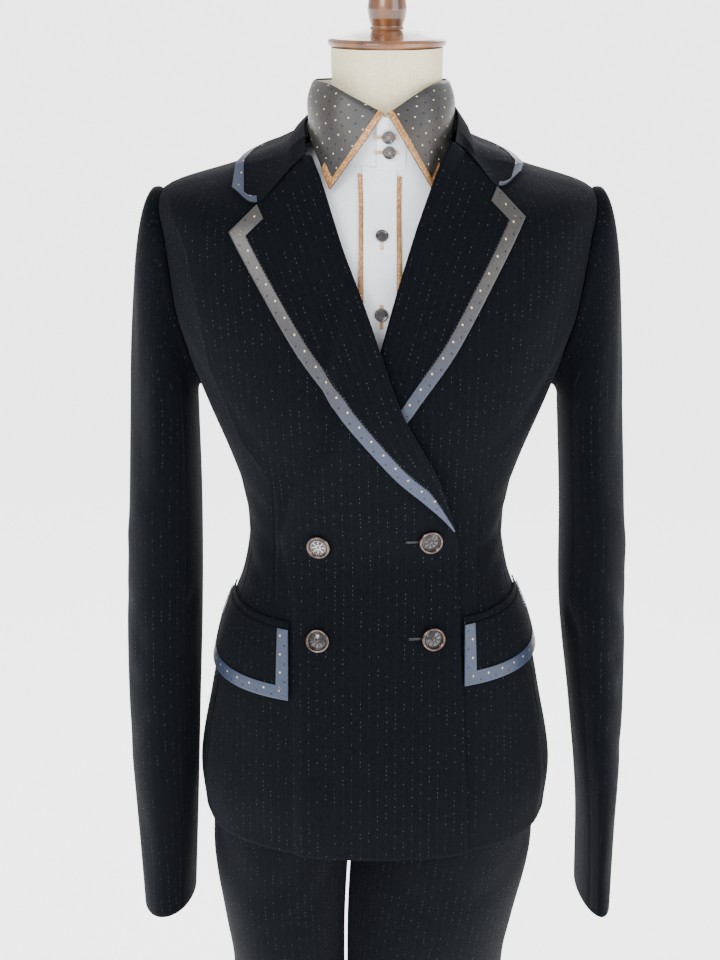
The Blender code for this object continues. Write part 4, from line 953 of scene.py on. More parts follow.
@dataclass
class Wardrobe:
    """Every finish of the part, made once."""

    suiting: Material = made(Suiting())
    # the trim satin is painted slate on faces turned up or aside as painted sheen; the lapel satin is not
    satin: Material = made(DottedSatin())
    lapel_satin: Material = made(DottedSatin(turned=False, name="lapel_satin"))
    lattice: Material = made(LatticeSatin())
    shirting: Material = made(Weave("shirting", (0.66, 0.69, 0.745), (0.76, 0.785, 0.83), 1400.0, 0.00005,
                                    0.72))
    tape: Material = made(GlitterTape())
    linen: Material = made(Weave("form_linen", (0.60, 0.525, 0.345), (0.72, 0.645, 0.450), 700.0, 0.00018,
                                 0.88))
    wood: Material = made(Varnished("varnished_wood"))
    board: Material = made(Varnished("varnished_board", stretch=(0.25, 1.4, 1.0)))
    rim: Material = made(Polished("copper_gunmetal", (0.072, 0.052, 0.046), (0.130, 0.096, 0.086), 0.16, 1.0))
    # a lit copy of the dark relief: the first jacket button's rosette and beads are painted bright as a
    # painted highlight
    pewter: Material = made(Polished("bright_pewter", (0.42, 0.41, 0.40), (0.56, 0.55, 0.54), 0.20, 1.0))
    relief: Material = made(Polished("dark_relief", (0.040, 0.037, 0.036), (0.080, 0.074, 0.072), 0.24, 1.0))
    enamel: Material = made(Polished("black_enamel", (0.006, 0.006, 0.008), (0.012, 0.012, 0.015), 0.18, 0.0,
                                     0.5))
    smoke: Material = made(Polished("smoked_shell", (0.006, 0.005, 0.006), (0.040, 0.035, 0.040), 0.12, 0.25,
                                    0.8, 220.0))
    tan: Material = made(Twist("tan_thread", (0.50, 0.30, 0.13), (0.68, 0.46, 0.25)))
    black: Material = made(Twist("black_thread", (0.004, 0.004, 0.006), (0.016, 0.016, 0.020)))


def off_neck(point: Grid) -> Grid:
    """The level direction from the neck's middle line to a point."""
    return unit(point - np.array((NECK_X, 0.0, point[2])))


# ---- the suit's cut ------------------------------------------------------------------------------
SEAM_TURN = 0.085        # the space left at a seam of the jacket, as a turn
CLOTH = 0.0020           # thickness of the suiting
FINE = 0.0012            # thickness of the shirting
LEAF = 0.0016            # thickness of a lapel, a flap or the jacket collar
BAND = 0.0010            # thickness of a satin band or a tape
LAID = 0.00016           # the space under a band that lies on its leaf
SEAM = 0.0003            # the space left between neighbours
NECK_X = 0.0035          # the collars' middle line, a little to the wearer's left

JACKET = Rings((
    (0.1650, 0.790, 0.129, 0.790, 0.132, 0.790, 0.000),   # hem
    (0.1685, 0.840, 0.130, 0.840, 0.134, 0.840, 0.000),   # seat
    (0.1570, 0.906, 0.125, 0.906, 0.126, 0.906, 0.000),   # hip
    (0.1430, 0.975, 0.116, 0.975, 0.111, 0.975, 0.000),   # pocket
    (0.1235, 1.030, 0.107, 1.030, 0.094, 1.030, 0.000),   # above the pocket
    (0.1180, 1.080, 0.103, 1.080, 0.086, 1.080, 0.000),   # waist
    (0.1290, 1.135, 0.112, 1.135, 0.092, 1.135, 0.000),   # ribs
    (0.1560, 1.205, 0.126, 1.205, 0.104, 1.205, 0.000),   # armpit
    (0.1850, 1.285, 0.121, 1.268, 0.110, 1.285, 0.000),   # chest
    (0.1940, 1.345, 0.109, 1.318, 0.106, 1.345, 0.001),   # upper chest
    (0.1880, 1.383, 0.099, 1.345, 0.098, 1.380, 0.001),   # shoulder tip
    (0.1300, 1.401, 0.088, 1.366, 0.084, 1.415, 0.002),   # mid shoulder
    (0.0760, 1.421, 0.080, 1.384, 0.071, 1.443, 0.003),   # neck seam
))
FORM = Rings((
    (0.1340, 0.860, 0.098, 0.860, 0.102, 0.860, 0.000),   # lower end
    (0.1400, 0.900, 0.102, 0.900, 0.107, 0.900, 0.000),   # hip
    (0.1270, 0.985, 0.094, 0.985, 0.092, 0.985, 0.000),   # high hip
    (0.1020, 1.070, 0.084, 1.070, 0.069, 1.070, 0.000),   # waist
    (0.1080, 1.125, 0.092, 1.125, 0.074, 1.125, 0.000),   # ribs
    (0.1320, 1.200, 0.107, 1.200, 0.084, 1.200, 0.000),   # bust
    (0.1560, 1.280, 0.101, 1.265, 0.088, 1.280, 0.000),   # chest
    (0.1680, 1.370, 0.086, 1.333, 0.078, 1.364, 0.001),   # shoulder
    (0.1120, 1.400, 0.072, 1.362, 0.064, 1.402, 0.003),   # mid shoulder
    (0.0640, 1.416, 0.059, 1.388, 0.054, 1.430, 0.006),   # foot of the neck
    (0.0485, 1.442, 0.049, 1.440, 0.048, 1.448, 0.0085),  # neck
    (0.0480, 1.503, 0.048, 1.503, 0.048, 1.503, 0.0085),  # top of the neck
))


@dataclass(frozen=True)
class JacketCut:
    """The jacket's outlines and the surfaces that its pieces share."""

    break_z: float = 1.085
    vee_z: float = 1.272
    armpit_row: float = 7
    tip_row: float = 10
    neck_row: float = 12
    armhole_turn: float = 24.0
    seam_clock: float = 135.0
    seam_low_turn: float = 20.0
    back_low_turn: float = 28.0
    overlap_lift: float = 0.0034
    lapel_room: float = 0.0054
    room_z: tuple[float, float] = (1.060, 1.110)           # the room for the lapel comes in
    slope_z: tuple[float, float] = (1.030, 1.090)          # the slope up to it widens
    slope_start: tuple[float, ...] = (0.0135, 0.0065, 0.0100)   # low down, more above, more at the vee
    slope_full: tuple[float, ...] = (0.0045, 0.0015, 0.0100)
    left_rise: float = 0.011
    rise_z: tuple[float, float] = (1.20, 1.40)
    lapel_lead: float = 0.018
    lead_fade: tuple[float, float] = (0.080, 0.035)        # above the vee
    roll_line: tuple = ((0.0700, 1.085), (0.0490, 1.150), (0.0225, 1.210), (0.0015, 1.272),
                        (-0.0150, 1.316), (-0.0450, 1.388), (-0.0570, 1.4142))
    lapel_edge: tuple = ((0.0700, 1.0850), (0.0635, 1.1000), (0.0527, 1.1165), (0.0365, 1.1350),
                         (0.0166, 1.1555), (-0.0070, 1.1840), (-0.0275, 1.2085), (-0.0350, 1.2190),
                         (-0.0675, 1.2620), (-0.1235, 1.3565))
    front_edge: tuple = ((0.0830, 0.790), (0.0810, 0.860), (0.0765, 0.950), (0.0730, 1.010),
                         (0.0700, 1.085))
    under_edge: tuple = ((0.0640, 0.790), (0.0640, 1.010), (0.0700, 1.085))
    open_right: tuple[float, float, float] = (0.0058, 0.0010, 1.335)   # at the vee, at the neck, change from
    open_left: tuple[float, float, float] = (0.0122, 0.0060, 1.220)
    open_z: tuple[float, float] = (1.140, 1.245)
    neck_z: float = 1.410

    def opening(self, side: Side, height: Grid) -> Grid:
        """How far a front's roll line is drawn back from its table, at heights."""
        low, high, start = self.open_right if side is Side.RIGHT else self.open_left
        share = smoothstep(start, self.neck_z, height)
        return (low + (high - low) * share) * smoothstep(*self.open_z, height)

    def roll_start(self, side: Side, share: Grid) -> Grid:
        """Flat points of a front's roll line, at shares of its length."""
        start = path_at(self.roll_line, share)
        start[..., 0] -= self.opening(side, start[..., 1])
        return start

    def armhole(self, clock: Grid) -> tuple[Grid, Grid]:
        """The (turn, row) of the armhole at a clock angle: 0 shoulder, 90 front, 180 armpit."""
        clock = np.radians(clock)
        row = self.armpit_row + (self.tip_row - self.armpit_row) * (1 + np.cos(clock)) / 2
        return self.armhole_turn * np.sin(clock), row

    def seam_turn(self, row: Grid, low_turn: float) -> Grid:
        """The turn of a side panel's seam at rows, from the hem up to the armhole."""
        top_turn, top_row = self.armhole(self.seam_clock)
        return low_turn + (top_turn - low_turn) * np.minimum(np.asarray(row) / top_row, 1.0)

    def starts(self, low_turn: float, low: int, arm: int, high: int) -> tuple[Grid, Grid]:
        """Rows of a front or back, and the turn of its side edge at each.

        Args:
            low_turn: the side seam's turn at the hem.
            low: rows below the armhole.
            arm: rows along the armhole.
            high: rows from the shoulder tip to the neck.

        Returns:
            Rows and turns.
        """
        top_row = self.armhole(self.seam_clock)[1]
        below = edged(0.0, top_row, low, 0.003)[:-1]
        turns, rows = self.armhole(np.linspace(self.seam_clock, 0, arm))
        above = np.linspace(self.tip_row, self.neck_row, high)[1:]
        above = np.concatenate((above[:-1], [above[-1] - 0.04, above[-1]]))
        return (np.concatenate((below, rows, above)),
                np.concatenate((self.seam_turn(below, low_turn), turns, np.zeros(len(above)))))

    def closure(self, side: Side, height: Grid) -> Grid:
        """How far across a front's free edge and roll line is, at heights."""
        edge = self.front_edge if side is Side.RIGHT else self.under_edge
        rise = self.left_rise if side is Side.LEFT else 0.0
        height = np.asarray(height, dtype=float)
        lower = height - rise * smoothstep(*self.rise_z, height)
        rolled = across_at(self.roll_line, lower) - self.opening(side, lower)
        return np.where(height <= self.break_z, across_at(edge, height), rolled)

    def over_lift(self, points: Grid) -> Grid:
        """How far the over front stands out, over the under front and its lapel.

        Args:
            points: places on the jacket's own surface.

        Returns:
            The rise at each.
        """
        height = points[..., 2]
        limit = -self.closure(Side.LEFT, height)
        room = self.overlap_lift + self.lapel_room * smoothstep(*self.room_z, height)
        high = smoothstep(*self.slope_z, height)
        top = smoothstep(self.vee_z - 0.060, self.vee_z - 0.010, height)
        start, full = (low + more * high + most * top
                       for low, more, most in (self.slope_start, self.slope_full))
        return room * smoothstep(limit - start, limit - full, points[..., 0])

    def on_over_front(self, across: Grid, height: Grid, lift: float) -> tuple[Grid, Grid]:
        """Points at a lift off the over front and its rise, and their directions."""
        turn, row = JACKET.locate(Side.RIGHT, across, height)
        seat, normal = JACKET.point(Side.RIGHT, turn, row), JACKET.normal(Side.RIGHT, turn, row)
        return seat + normal * (self.over_lift(seat) + lift)[..., None], normal

    def on_front(self, side: Side, across: Grid, height: Grid, lift: Grid) -> tuple[Grid, Grid]:
        """Points over a front, seen at (across, height), with their directions.

        Args:
            side: the front's side.
            across: X of each point.
            height: Z of each point.
            lift: how far off the front.

        Returns:
            Points and outward directions.
        """
        turn, row = JACKET.locate(side, across, height)
        seat = JACKET.point(side, turn, row)
        normal = JACKET.normal(side, turn, row)
        seat = np.stack((np.broadcast_to(across, seat.shape[:-1]), seat[..., 1],
                         np.broadcast_to(height, seat.shape[:-1])), axis=-1)
        base = 0.0
        if side is Side.RIGHT:
            fade = (self.vee_z + above for above in self.lead_fade)
            lead = self.lapel_lead * smoothstep(*fade, seat[..., 2])
            ahead = seat + np.stack((lead, 0 * lead, 0 * lead), axis=-1)
            base = self.over_lift(ahead)
        return seat + normal * np.asarray(base + lift)[..., None], normal


CUT = JacketCut()


def on_jacket(side: Side, turn: float, row: float) -> tuple[float, float, float]:
    """A point on the jacket's own surface, for a crease's end."""
    return tuple(JACKET.point(side, turn, row))


def body_creases(side: Side) -> tuple[Crease, ...]:
    """The soft troughs and ridges of one half of the jacket's body, uneven as worn cloth is.

    Args:
        side: the half.

    Returns:
        Its creases.
    """
    s, skew = side, 1.0 if side is Side.RIGHT else -0.6
    table = (
        # turn, row, turn, row, depth, width, bow: from the first place to the second
        (10, 5.2, 46, 4.7, 0.0017, 0.010, 0.004),     # waist drag towards the buttons
        (2, 4.7, 34, 4.2, 0.0013, 0.009, -0.003),     # lower waist drag
        (6, 5.9, 40, 5.5, 0.0011, 0.011, 0.005),      # upper waist drag
        (22, 7.6, 44, 6.6, 0.0020, 0.012, 0.004),     # from the armhole to the bust
        (28, 8.6, 40, 7.4, 0.0013, 0.014, -0.004),    # beside the armhole
        (16, 1.6, 20, 0.0, 0.0018, 0.016, 0.003),     # skirt, near the side seam
        (44, 1.9, 50, 0.0, 0.0014, 0.020, -0.004),    # skirt, front
        (70, 1.4, 73, 0.0, -0.0010, 0.018, 0.003),    # skirt, beside the edge
        (-14, 5.2, -44, 4.8, 0.0020, 0.011, -0.004),  # back of the waist
        (-8, 4.5, -36, 4.1, 0.0014, 0.010, 0.004),    # lower back of the waist
        (-20, 6.0, -52, 5.5, 0.0016, 0.012, 0.005),   # across the small of the back
        (-24, 7.7, -50, 6.7, 0.0017, 0.013, -0.004),  # from the armhole to the back
        (-30, 1.8, -34, 0.0, 0.0018, 0.018, 0.004),   # skirt, back of the side
        (-62, 1.7, -66, 0.0, -0.0014, 0.022, -0.003), # skirt, back
    )
    creases = []
    for k, (turn_a, row_a, turn_b, row_b, depth, width, bow) in enumerate(table):
        drift = skew * (1.5 * math.sin(2.3 * k + (0 if side is Side.RIGHT else 1.1)))
        creases.append(Crease(on_jacket(s, turn_a + drift, row_a), on_jacket(s, turn_b + drift, row_b),
                              depth * (1 + 0.16 * math.sin(1.7 * k + side)), width, bow))
    return tuple(creases)


# ---- finishing a piece ---------------------------------------------------------------------------
@dataclass
class Dresser:
    """Gives a finished piece its material, hangs it on the body, hides the imported nodes that it stands for
    and logs it.
    """

    wardrobe: Wardrobe = field(default_factory=Wardrobe)
    count: int = 0
    LEAST_FILL: float = 0.32     # the least share of its own box that a cut fills
    SLACK: float = 1.001

    def dress(self, piece: Piece, materials: list[Material], slot: str = "",
              nodes: tuple[str, ...] = ()) -> Piece:
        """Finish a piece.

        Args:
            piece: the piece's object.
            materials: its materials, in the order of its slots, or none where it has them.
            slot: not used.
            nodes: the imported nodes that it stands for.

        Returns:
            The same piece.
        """
        if materials:
            piece.data.materials.clear()
            for material in materials:
                piece.data.materials.append(material)
        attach(piece, BODY)
        if nodes:
            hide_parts(*nodes)
        self.count += 1
        log.info("%s: %d faces", piece.name, len(piece.data.polygons))
        return piece

    def cloth(self, name: str, panel: Panel, low: Grid, high: Grid, material: Material,
              slot: str, nodes: tuple[str, ...], held: Hold = Hold.HUNG,
              rests_on: tuple[str, ...] = ("dress_form_body",),
              trims: tuple = ()) -> Piece:
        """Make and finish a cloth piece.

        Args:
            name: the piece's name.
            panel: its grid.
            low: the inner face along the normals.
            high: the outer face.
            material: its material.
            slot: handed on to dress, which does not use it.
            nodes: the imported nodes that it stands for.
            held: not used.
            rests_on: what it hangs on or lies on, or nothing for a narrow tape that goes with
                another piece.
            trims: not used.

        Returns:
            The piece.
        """
        piece = self.dress(panel.shell(name, low, high), [material], slot, nodes)
        if not rests_on:
            return piece
        area = panel.area()
        width, length = panel.flat_size()
        if not self.LEAST_FILL <= area / (width * length) <= 1.0:
            length = area / width * self.SLACK
        return piece


@dataclass
class Maker:
    """A sub-assembly, with the dresser that finishes its pieces."""

    dresser: Dresser

    @property
    def wardrobe(self) -> Wardrobe:
        """The finishes."""
        return self.dresser.wardrobe

    @property
    def cloth(self) -> Callable[..., Piece]:
        """The dresser's way to make and finish a cloth piece."""
        return self.dresser.cloth


# ---- the jacket ----------------------------------------------------------------------------------
@dataclass
class JacketBody(Maker):
    """Fronts, backs and side panels."""

    low_rows: int = 84
    arm_rows: int = 26
    high_rows: int = 16
    columns: int = 66
    side_columns: int = 22
    dart_x: float = 0.0912
    dart: tuple[float, float] = (1.020, 1.135)
    dart_depth: float = 0.0009
    dart_rows: tuple[float, float] = (3.4, 5.8)
    dart_fade: tuple[float, ...] = (2.6, 3.4, 6.6, 5.9)
    dart_reach: float = 14.0     # columns on each side that are drawn in
    dart_gap: float = 0.62       # the turn between the dart's line and the next column

    def front(self, side: Side) -> Panel:
        """A front, from its side seam to its free edge and roll line.

        Args:
            side: the side.

        Returns:
            Its panel.
        """
        rows, start = CUT.starts(CUT.seam_low_turn, self.low_rows, self.arm_rows, self.high_rows)
        start = start + SEAM_TURN
        end = JACKET.turn_across(side, rows, lambda z: CUT.closure(side, z), by_side=True)
        share = edged(0.0, 1.0, self.columns, 0.004)
        dart = JACKET.turn_across(side, rows, side * self.dart_x)
        turn = start[:, None] + (end - start)[:, None] * share
        near = np.argmin(np.abs(turn - dart[:, None]), axis=1)
        middle = int(np.median(near[(rows > self.dart_rows[0]) & (rows < self.dart_rows[1])]))
        turn = self.with_dart(turn, dart, middle, rows)
        points, normals = JACKET.patch(side, turn, rows[:, None])
        if side is Side.RIGHT:
            points = points + normals * CUT.over_lift(points)[..., None]
        points = creased(points, normals, body_creases(side))
        points = points - normals * self.dart_sink(points, middle, turn.shape)[..., None]
        arc = run_length(points, 1)
        return Panel.laid(points, normals, points[:, -1:, 0] + side * (arc[:, -1:] - arc))

    def with_dart(self, turn: Grid, dart: Grid, middle: int, rows: Grid) -> Grid:
        """Columns drawn in to a dart's line, so that its groove has points to lie on.

        Args:
            turn: the turns of the grid.
            dart: the turn of the dart's line at each row.
            middle: the column that follows the dart.
            rows: the rows of the grid.

        Returns:
            The changed turns.
        """
        share = smoothstep(*self.dart_fade[:2], rows) * smoothstep(*self.dart_fade[2:], rows)
        moved = turn.copy()
        shift = (dart - turn[:, middle]) * share
        weight = np.clip(1 - np.abs(np.arange(turn.shape[1]) - middle) / self.dart_reach, 0, 1)
        moved += shift[:, None] * weight
        for step in (-1, 1):
            near = moved[:, middle] + step * self.dart_gap
            moved[:, middle + step] += (near - moved[:, middle + step]) * share
        return moved

    def dart_sink(self, points: Grid, middle: int, shape: tuple) -> Grid:
        """How far the dart's seam sinks, along one column and fading at both ends."""
        low, high = self.dart
        height = points[:, middle, 2]
        fade = smoothstep(low - 0.006, low + 0.010, height) * smoothstep(high + 0.006, high - 0.014, height)
        sink = np.zeros(shape)
        sink[:, middle] = fade * self.dart_depth
        return sink

    def back(self, side: Side) -> Panel:
        """A back, from its side seam to the centre seam.

        Args:
            side: the side.

        Returns:
            Its panel.
        """
        rows, start = CUT.starts(CUT.back_low_turn, self.low_rows, self.arm_rows, self.high_rows)
        start = start + SEAM_TURN
        share = edged(0.0, 1.0, self.columns - 12, 0.005)
        turn = -(start[:, None] + (90 - SEAM_TURN - start)[:, None] * share)
        points, normals = JACKET.patch(side, turn, rows[:, None])
        points = creased(points, normals, body_creases(side))
        arc = run_length(points, 1)
        return Panel.laid(points, normals, side * (arc[:, -1:] - arc))

    def side_panel(self, side: Side) -> Panel:
        """A side panel, from the hem up to the foot of the armhole.

        Args:
            side: the side.

        Returns:
            Its panel.
        """
        clock = CUT.seam_clock + (360 - 2 * CUT.seam_clock) * edged(0.0, 1.0, self.side_columns, 0.010)
        share = edged(0.0, 1.0, self.low_rows, 0.003)
        top_turn, top_row = CUT.armhole(clock)
        first_turn, first_row = CUT.armhole(CUT.seam_clock)
        low = np.where(clock < 180, CUT.seam_low_turn, CUT.back_low_turn) * top_turn / first_turn
        reach = np.minimum(share[:, None] * top_row / first_row, 1.0)
        reach[-1] = 1.0
        turn = low + (top_turn - low) * reach
        turn[:, 0] -= SEAM_TURN
        turn[:, -1] += SEAM_TURN
        points, normals = JACKET.patch(side, turn, share[:, None] * top_row)
        points = creased(points, normals, body_creases(side))
        return Panel.laid(points, normals, side * from_middle(points))

    def build(self) -> None:
        """Make all six panels."""
        suiting = self.wardrobe.suiting
        for side in Side:
            for part, panel in (("front", self.front(side)), ("back", self.back(side)),
                                ("side_panel", self.side_panel(side))):
                self.cloth(f"{side.word}_jacket_{part}", panel, -CLOTH, 0.0, suiting, "suiting",
                           (f"jacket_{side.word}_{part}",))


@dataclass
class Lapels(Maker):
    """The turned lapels and the dotted satin band along their edges."""

    start: float = 0.055
    fold: tuple = ((-0.0014, -0.0006), (-0.0032, 0.0021), (-0.0020, 0.0044), (0.0012, 0.0053))
    roll_height: float = 0.0029
    edge_height: float = 0.0024
    roll_reach: float = 0.022
    notch_reach: float = 0.0320
    covered_z: float = 1.175
    rise_z: tuple[float, float] = (1.20, 1.36)
    free_z: tuple[float, float] = (1.262, 1.330)     # the under lapel comes free of the over front
    satin: float = 0.0110
    satin_most: float = 0.55
    fold_room: float = 0.006
    full_width: float = 0.030
    top_share: float = 0.967
    rows: int = 84
    fold_steps: int = 12
    flat_steps: int = 26
    band_steps: int = 8
    inside: tuple[float, float, float] = (0.0, 0.4, 1.25)    # every lapel faces away from this point

    def rise(self, side: Side, height: Grid) -> Grid:
        """How much higher a point of a lapel sits on this side."""
        if side is Side.RIGHT:
            return np.zeros(np.shape(height))
        return CUT.left_rise * smoothstep(*self.rise_z, height)

    def over(self, side: Side, start: Grid, end: Grid, across: Grid, height: Grid) -> tuple[Grid, Grid]:
        """Points of a lapel at a distance from its fold and a height off the front."""
        heading = unit(end - start)
        flat = start + heading * np.asarray(across)[..., None]
        return CUT.on_front(side, flat[..., 0] * -side,
                            flat[..., 1] + self.rise(side, flat[..., 1]), height)

    def shares(self) -> Grid:
        """The rows of a lapel, closer along its top edge."""
        low = edged(self.start, self.top_share, self.rows, 0.002)[:-2]
        top = edged(self.top_share, 1.0, 7, 0.08)
        return np.concatenate((low, [top[0]], top[2:]))

    def band(self, width: Grid) -> Grid:
        """How wide the band is where a lapel has a width."""
        return np.minimum(self.satin, self.satin_most * width)

    def layout(self, side: Side) -> tuple[Grid, Grid, Grid, Grid, Grid]:
        """Fold points, edge points, widths, and each column's distance across and height.

        Args:
            side: the side.

        Returns:
            Fold points, edge points, widths, distances and heights, a row for each share.
        """
        share = self.shares()
        start, end = CUT.roll_start(side, share), path_at(CUT.lapel_edge, share)
        width = np.linalg.norm(end - start, axis=1)
        flat = np.ones(len(share))
        if side is Side.LEFT:
            flat = smoothstep(*self.free_z, (start[:, 1] + end[:, 1]) / 2)
        shrink = np.minimum(1.0, width / self.full_width)
        turn = smooth_read(np.arange(4), np.array(self.fold), np.linspace(0, 3, self.fold_steps))
        fold_across = turn[:, 0] * shrink[:, None]
        fold_tall = turn[:, 1] * ((0.45 + 0.55 * flat) * shrink)[:, None]
        band = self.band(width)
        first = np.minimum(self.fold_room, 0.4 * width)
        inner = first[:, None] + (width - band - first)[:, None] * np.linspace(0, 1, self.flat_steps)
        outer = (width - band)[:, None] + band[:, None] * edged(0.0, 1.0, self.band_steps, 0.06)[2:]
        across = np.concatenate((inner, outer), axis=1)
        soft = np.exp(-(across / self.roll_reach) ** 2)
        tall = self.edge_height + self.roll_height * soft * (flat * shrink)[:, None]
        return (start, end, width, np.concatenate((fold_across, across), axis=1),
                np.concatenate((fold_tall, tall), axis=1))

    def panels(self, side: Side) -> tuple[Panel, Panel]:
        """A lapel and the band that lies on it.

        Args:
            side: the side.

        Returns:
            The lapel's panel and the band's.
        """
        start, end, width, across, tall = self.layout(side)
        points = self.over(side, start[:, None], end[:, None], across, tall)[0]
        normals = grid_normals(points, self.inside)
        along = run_length(points, 0)
        edge = along[:, -1:]
        cut = np.stack((across, np.broadcast_to(along[:, :1], across.shape)), axis=-1)
        first = self.fold_steps + self.flat_steps - 1
        share = self.shares()
        top_row = nearest(share, self.top_share)
        notch = nearest(across[-1], width[-1] - self.notch_reach)
        keep = no_cells(points)
        keep[:, first:] = True
        keep[top_row:, notch:] = True
        if side is Side.LEFT:
            keep[points[:-1, -1, 2] < self.covered_z] = False
        from_edge = width[:, None] - across
        band_cut = mitred(from_edge, along[-1:] - along, edge, edge[-1] + from_edge)
        return Panel(points, normals, cut), Panel(points, normals, band_cut, keep)

    def build(self) -> None:
        """Make both lapels and their bands."""
        for side in Side:
            lapel, band = self.panels(side)
            under = f"{side.word}_jacket_front"
            name = f"{side.word}_lapel"
            self.cloth(name, lapel, -LEAF / 2, LEAF / 2, self.wardrobe.suiting, "suiting",
                       (f"jacket_{side.word}_lapel",), Hold.FOLDED, (under,))
            low = LEAF / 2 + LAID
            self.cloth(f"{name}_satin", band, low, low + BAND, self.wardrobe.lapel_satin, "satin",
                       (f"{side.word}_lapel_band",), Hold.LAID, (name,))


@dataclass
class JacketCollar(Maker):
    """The collar's fall with its dotted band, and its stand."""

    table: tuple = (
        # fold x, y, z, edge turn, edge row, foot turn, foot row, swell
        (0.0600, -0.0690, 1.4200, 48.0, 11.00, 48.0, 11.60, 0.0010),    # gorge
        (0.0645, -0.0350, 1.4350, 13.0, 11.10, 24.0, 11.80, 0.0010),    # over the collar bone
        (0.0650, 0.0020, 1.4505, 0.0, 11.20, 0.0, 11.93, 0.0012),       # shoulder line
        (0.0520, 0.0490, 1.4560, -45.0, 11.25, -45.0, 11.95, 0.0016),   # behind the shoulder
        (0.0000, 0.0740, 1.4620, -90.0, 11.20, -90.0, 12.00, 0.0018),   # centre back
    )
    right_drop: tuple = (0.0, 0.0030, 0.0090, 0.0075, 0.0)
    shares: tuple = (0.0, 0.16, 0.34, 0.58, 1.0)
    gorge_gap: float = 0.0018
    gorge_across: tuple[float, ...] = (0.0016, 0.013, 0.027)
    gorge_height: tuple[float, ...] = (0.0050, 0.0046, 0.0040)
    edge_lift: float = 0.0036
    foot_lift: float = 0.0044
    tip_lift: float = 0.0034
    stand_turns: tuple[float, ...] = (24.0, 0.0, -45.0, -90.0)     # at stations 1 to 4
    stand_sink: float = 0.0012
    inside: tuple[float, float, float] = (0.0, 0.0, 1.36)    # the fall faces away from this point
    stand_foot: float = 0.0016
    stand_in: float = 0.0022
    stand_drop: float = 0.0010
    tip: tuple[float, float] = (0.1225, 1.3870)
    band_share: float = 0.79
    end_share: float = 0.58
    end_station: float = 0.24

    def controls(self, side: Side, station: float, lapels: Lapels) -> list[Grid]:
        """Fold, upper, lower and edge points of the collar at a station of its table.

        Args:
            side: the side.
            station: 0 at the gorge, 4 at centre back.
            lapels: the lapels that it meets.

        Returns:
            Five points, from the fold to the edge.
        """
        read = smooth_read(np.arange(5), np.array(self.table), station)
        rise = CUT.left_rise * max(1 - station / 2, 0.0) / 2
        if side is Side.RIGHT:
            rise = -float(smooth_read(np.arange(5), self.right_drop, station))
        fold = np.array((side * read[0] + NECK_X, read[1], read[2] + rise))
        edge = JACKET.lifted(side, read[3], read[4], self.edge_lift)
        foot = JACKET.lifted(side, read[5], read[6], self.foot_lift)
        out = off_neck(fold)
        upper = fold + (foot - fold) * 0.50 + out * read[7]
        if station >= 1:
            return [fold, upper, foot, edge + (foot - edge) * 0.41, edge]
        start, end = CUT.roll_start(side, np.array(1.0)), path_at(CUT.lapel_edge, 1.0)
        width = np.linalg.norm(end - start)
        across = np.array((*self.gorge_across, width - lapels.notch_reach + 0.001))
        height = np.array((*self.gorge_height, lapels.edge_height))
        gorge = lapels.over(side, start, end, across, height)[0] + np.array((0.0, 0.0, self.gorge_gap))
        rise = CUT.left_rise if side is Side.LEFT else 0.0
        turn, row = JACKET.locate(side, side * self.tip[0], self.tip[1] + rise)
        front = [*gorge, JACKET.lifted(side, turn, row, self.tip_lift)]
        mix = smoothstep(0.0, 1.0, station)
        return [a * (1 - mix) + b * mix for a, b in zip(front, self.controls(side, 1.0, lapels))]

    def half(self, side: Side, stations: Grid, shares: Grid, lapels: Lapels) -> Grid:
        """The points of one half of the collar, a row for each station."""
        return np.array([smooth_read(self.shares, np.array(self.controls(side, s, lapels)), shares)
                         for s in stations])

    def build(self, lapels: Lapels) -> None:
        """Make the fall, its band and the stand.

        Args:
            lapels: the lapels that it meets.
        """
        stations = np.concatenate(([0.0, 0.016], np.linspace(0, self.end_station, 9)[2:],
                                   np.linspace(self.end_station, 4.0, 56)[1:]))
        shares = np.concatenate((edged(0.0, self.end_share, 15, 0.03),
                                 np.linspace(self.end_share, self.band_share, 7)[1:],
                                 edged(self.band_share, 1.0, 7, 0.05)[2:]))
        right = self.half(Side.RIGHT, stations, shares, lapels)
        left = self.half(Side.LEFT, stations, shares, lapels)
        points = np.concatenate((right, left[-2::-1]))
        normals = grid_normals(points, self.inside)
        across, along = run_length(points, 1), run_length(points, 0)
        middle = along[len(stations) - 1]
        cut = np.stack((along - middle, across), axis=-1)
        self.cloth("jacket_collar_fall", Panel(points, normals, cut), -LEAF / 2, LEAF / 2,
                   self.wardrobe.suiting, "suiting", ("jacket_collar",), Hold.FOLDED,
                   ("jacket_collar_standing",))
        rows = np.arange(points.shape[0] - 1)
        ends = nearest(stations, self.end_station)
        keep = no_cells(points)
        keep[:, nearest(shares, self.band_share):] = True
        near_end = (rows < ends) | (rows >= len(rows) - ends)
        keep[near_end, nearest(shares, self.end_share):] = True
        from_edge = across[:, -1:] - across
        from_end = np.minimum(along, along[-1:] - along)
        band_cut = mitred(from_edge, from_end, along[:, -1:], -from_edge)
        low = LEAF / 2 + LAID
        self.cloth("jacket_collar_satin", Panel(points, normals, band_cut, keep), low, low + BAND,
                   self.wardrobe.satin, "satin", ("collar_band",), Hold.LAID, ("jacket_collar_fall",))
        self.stand(lapels)

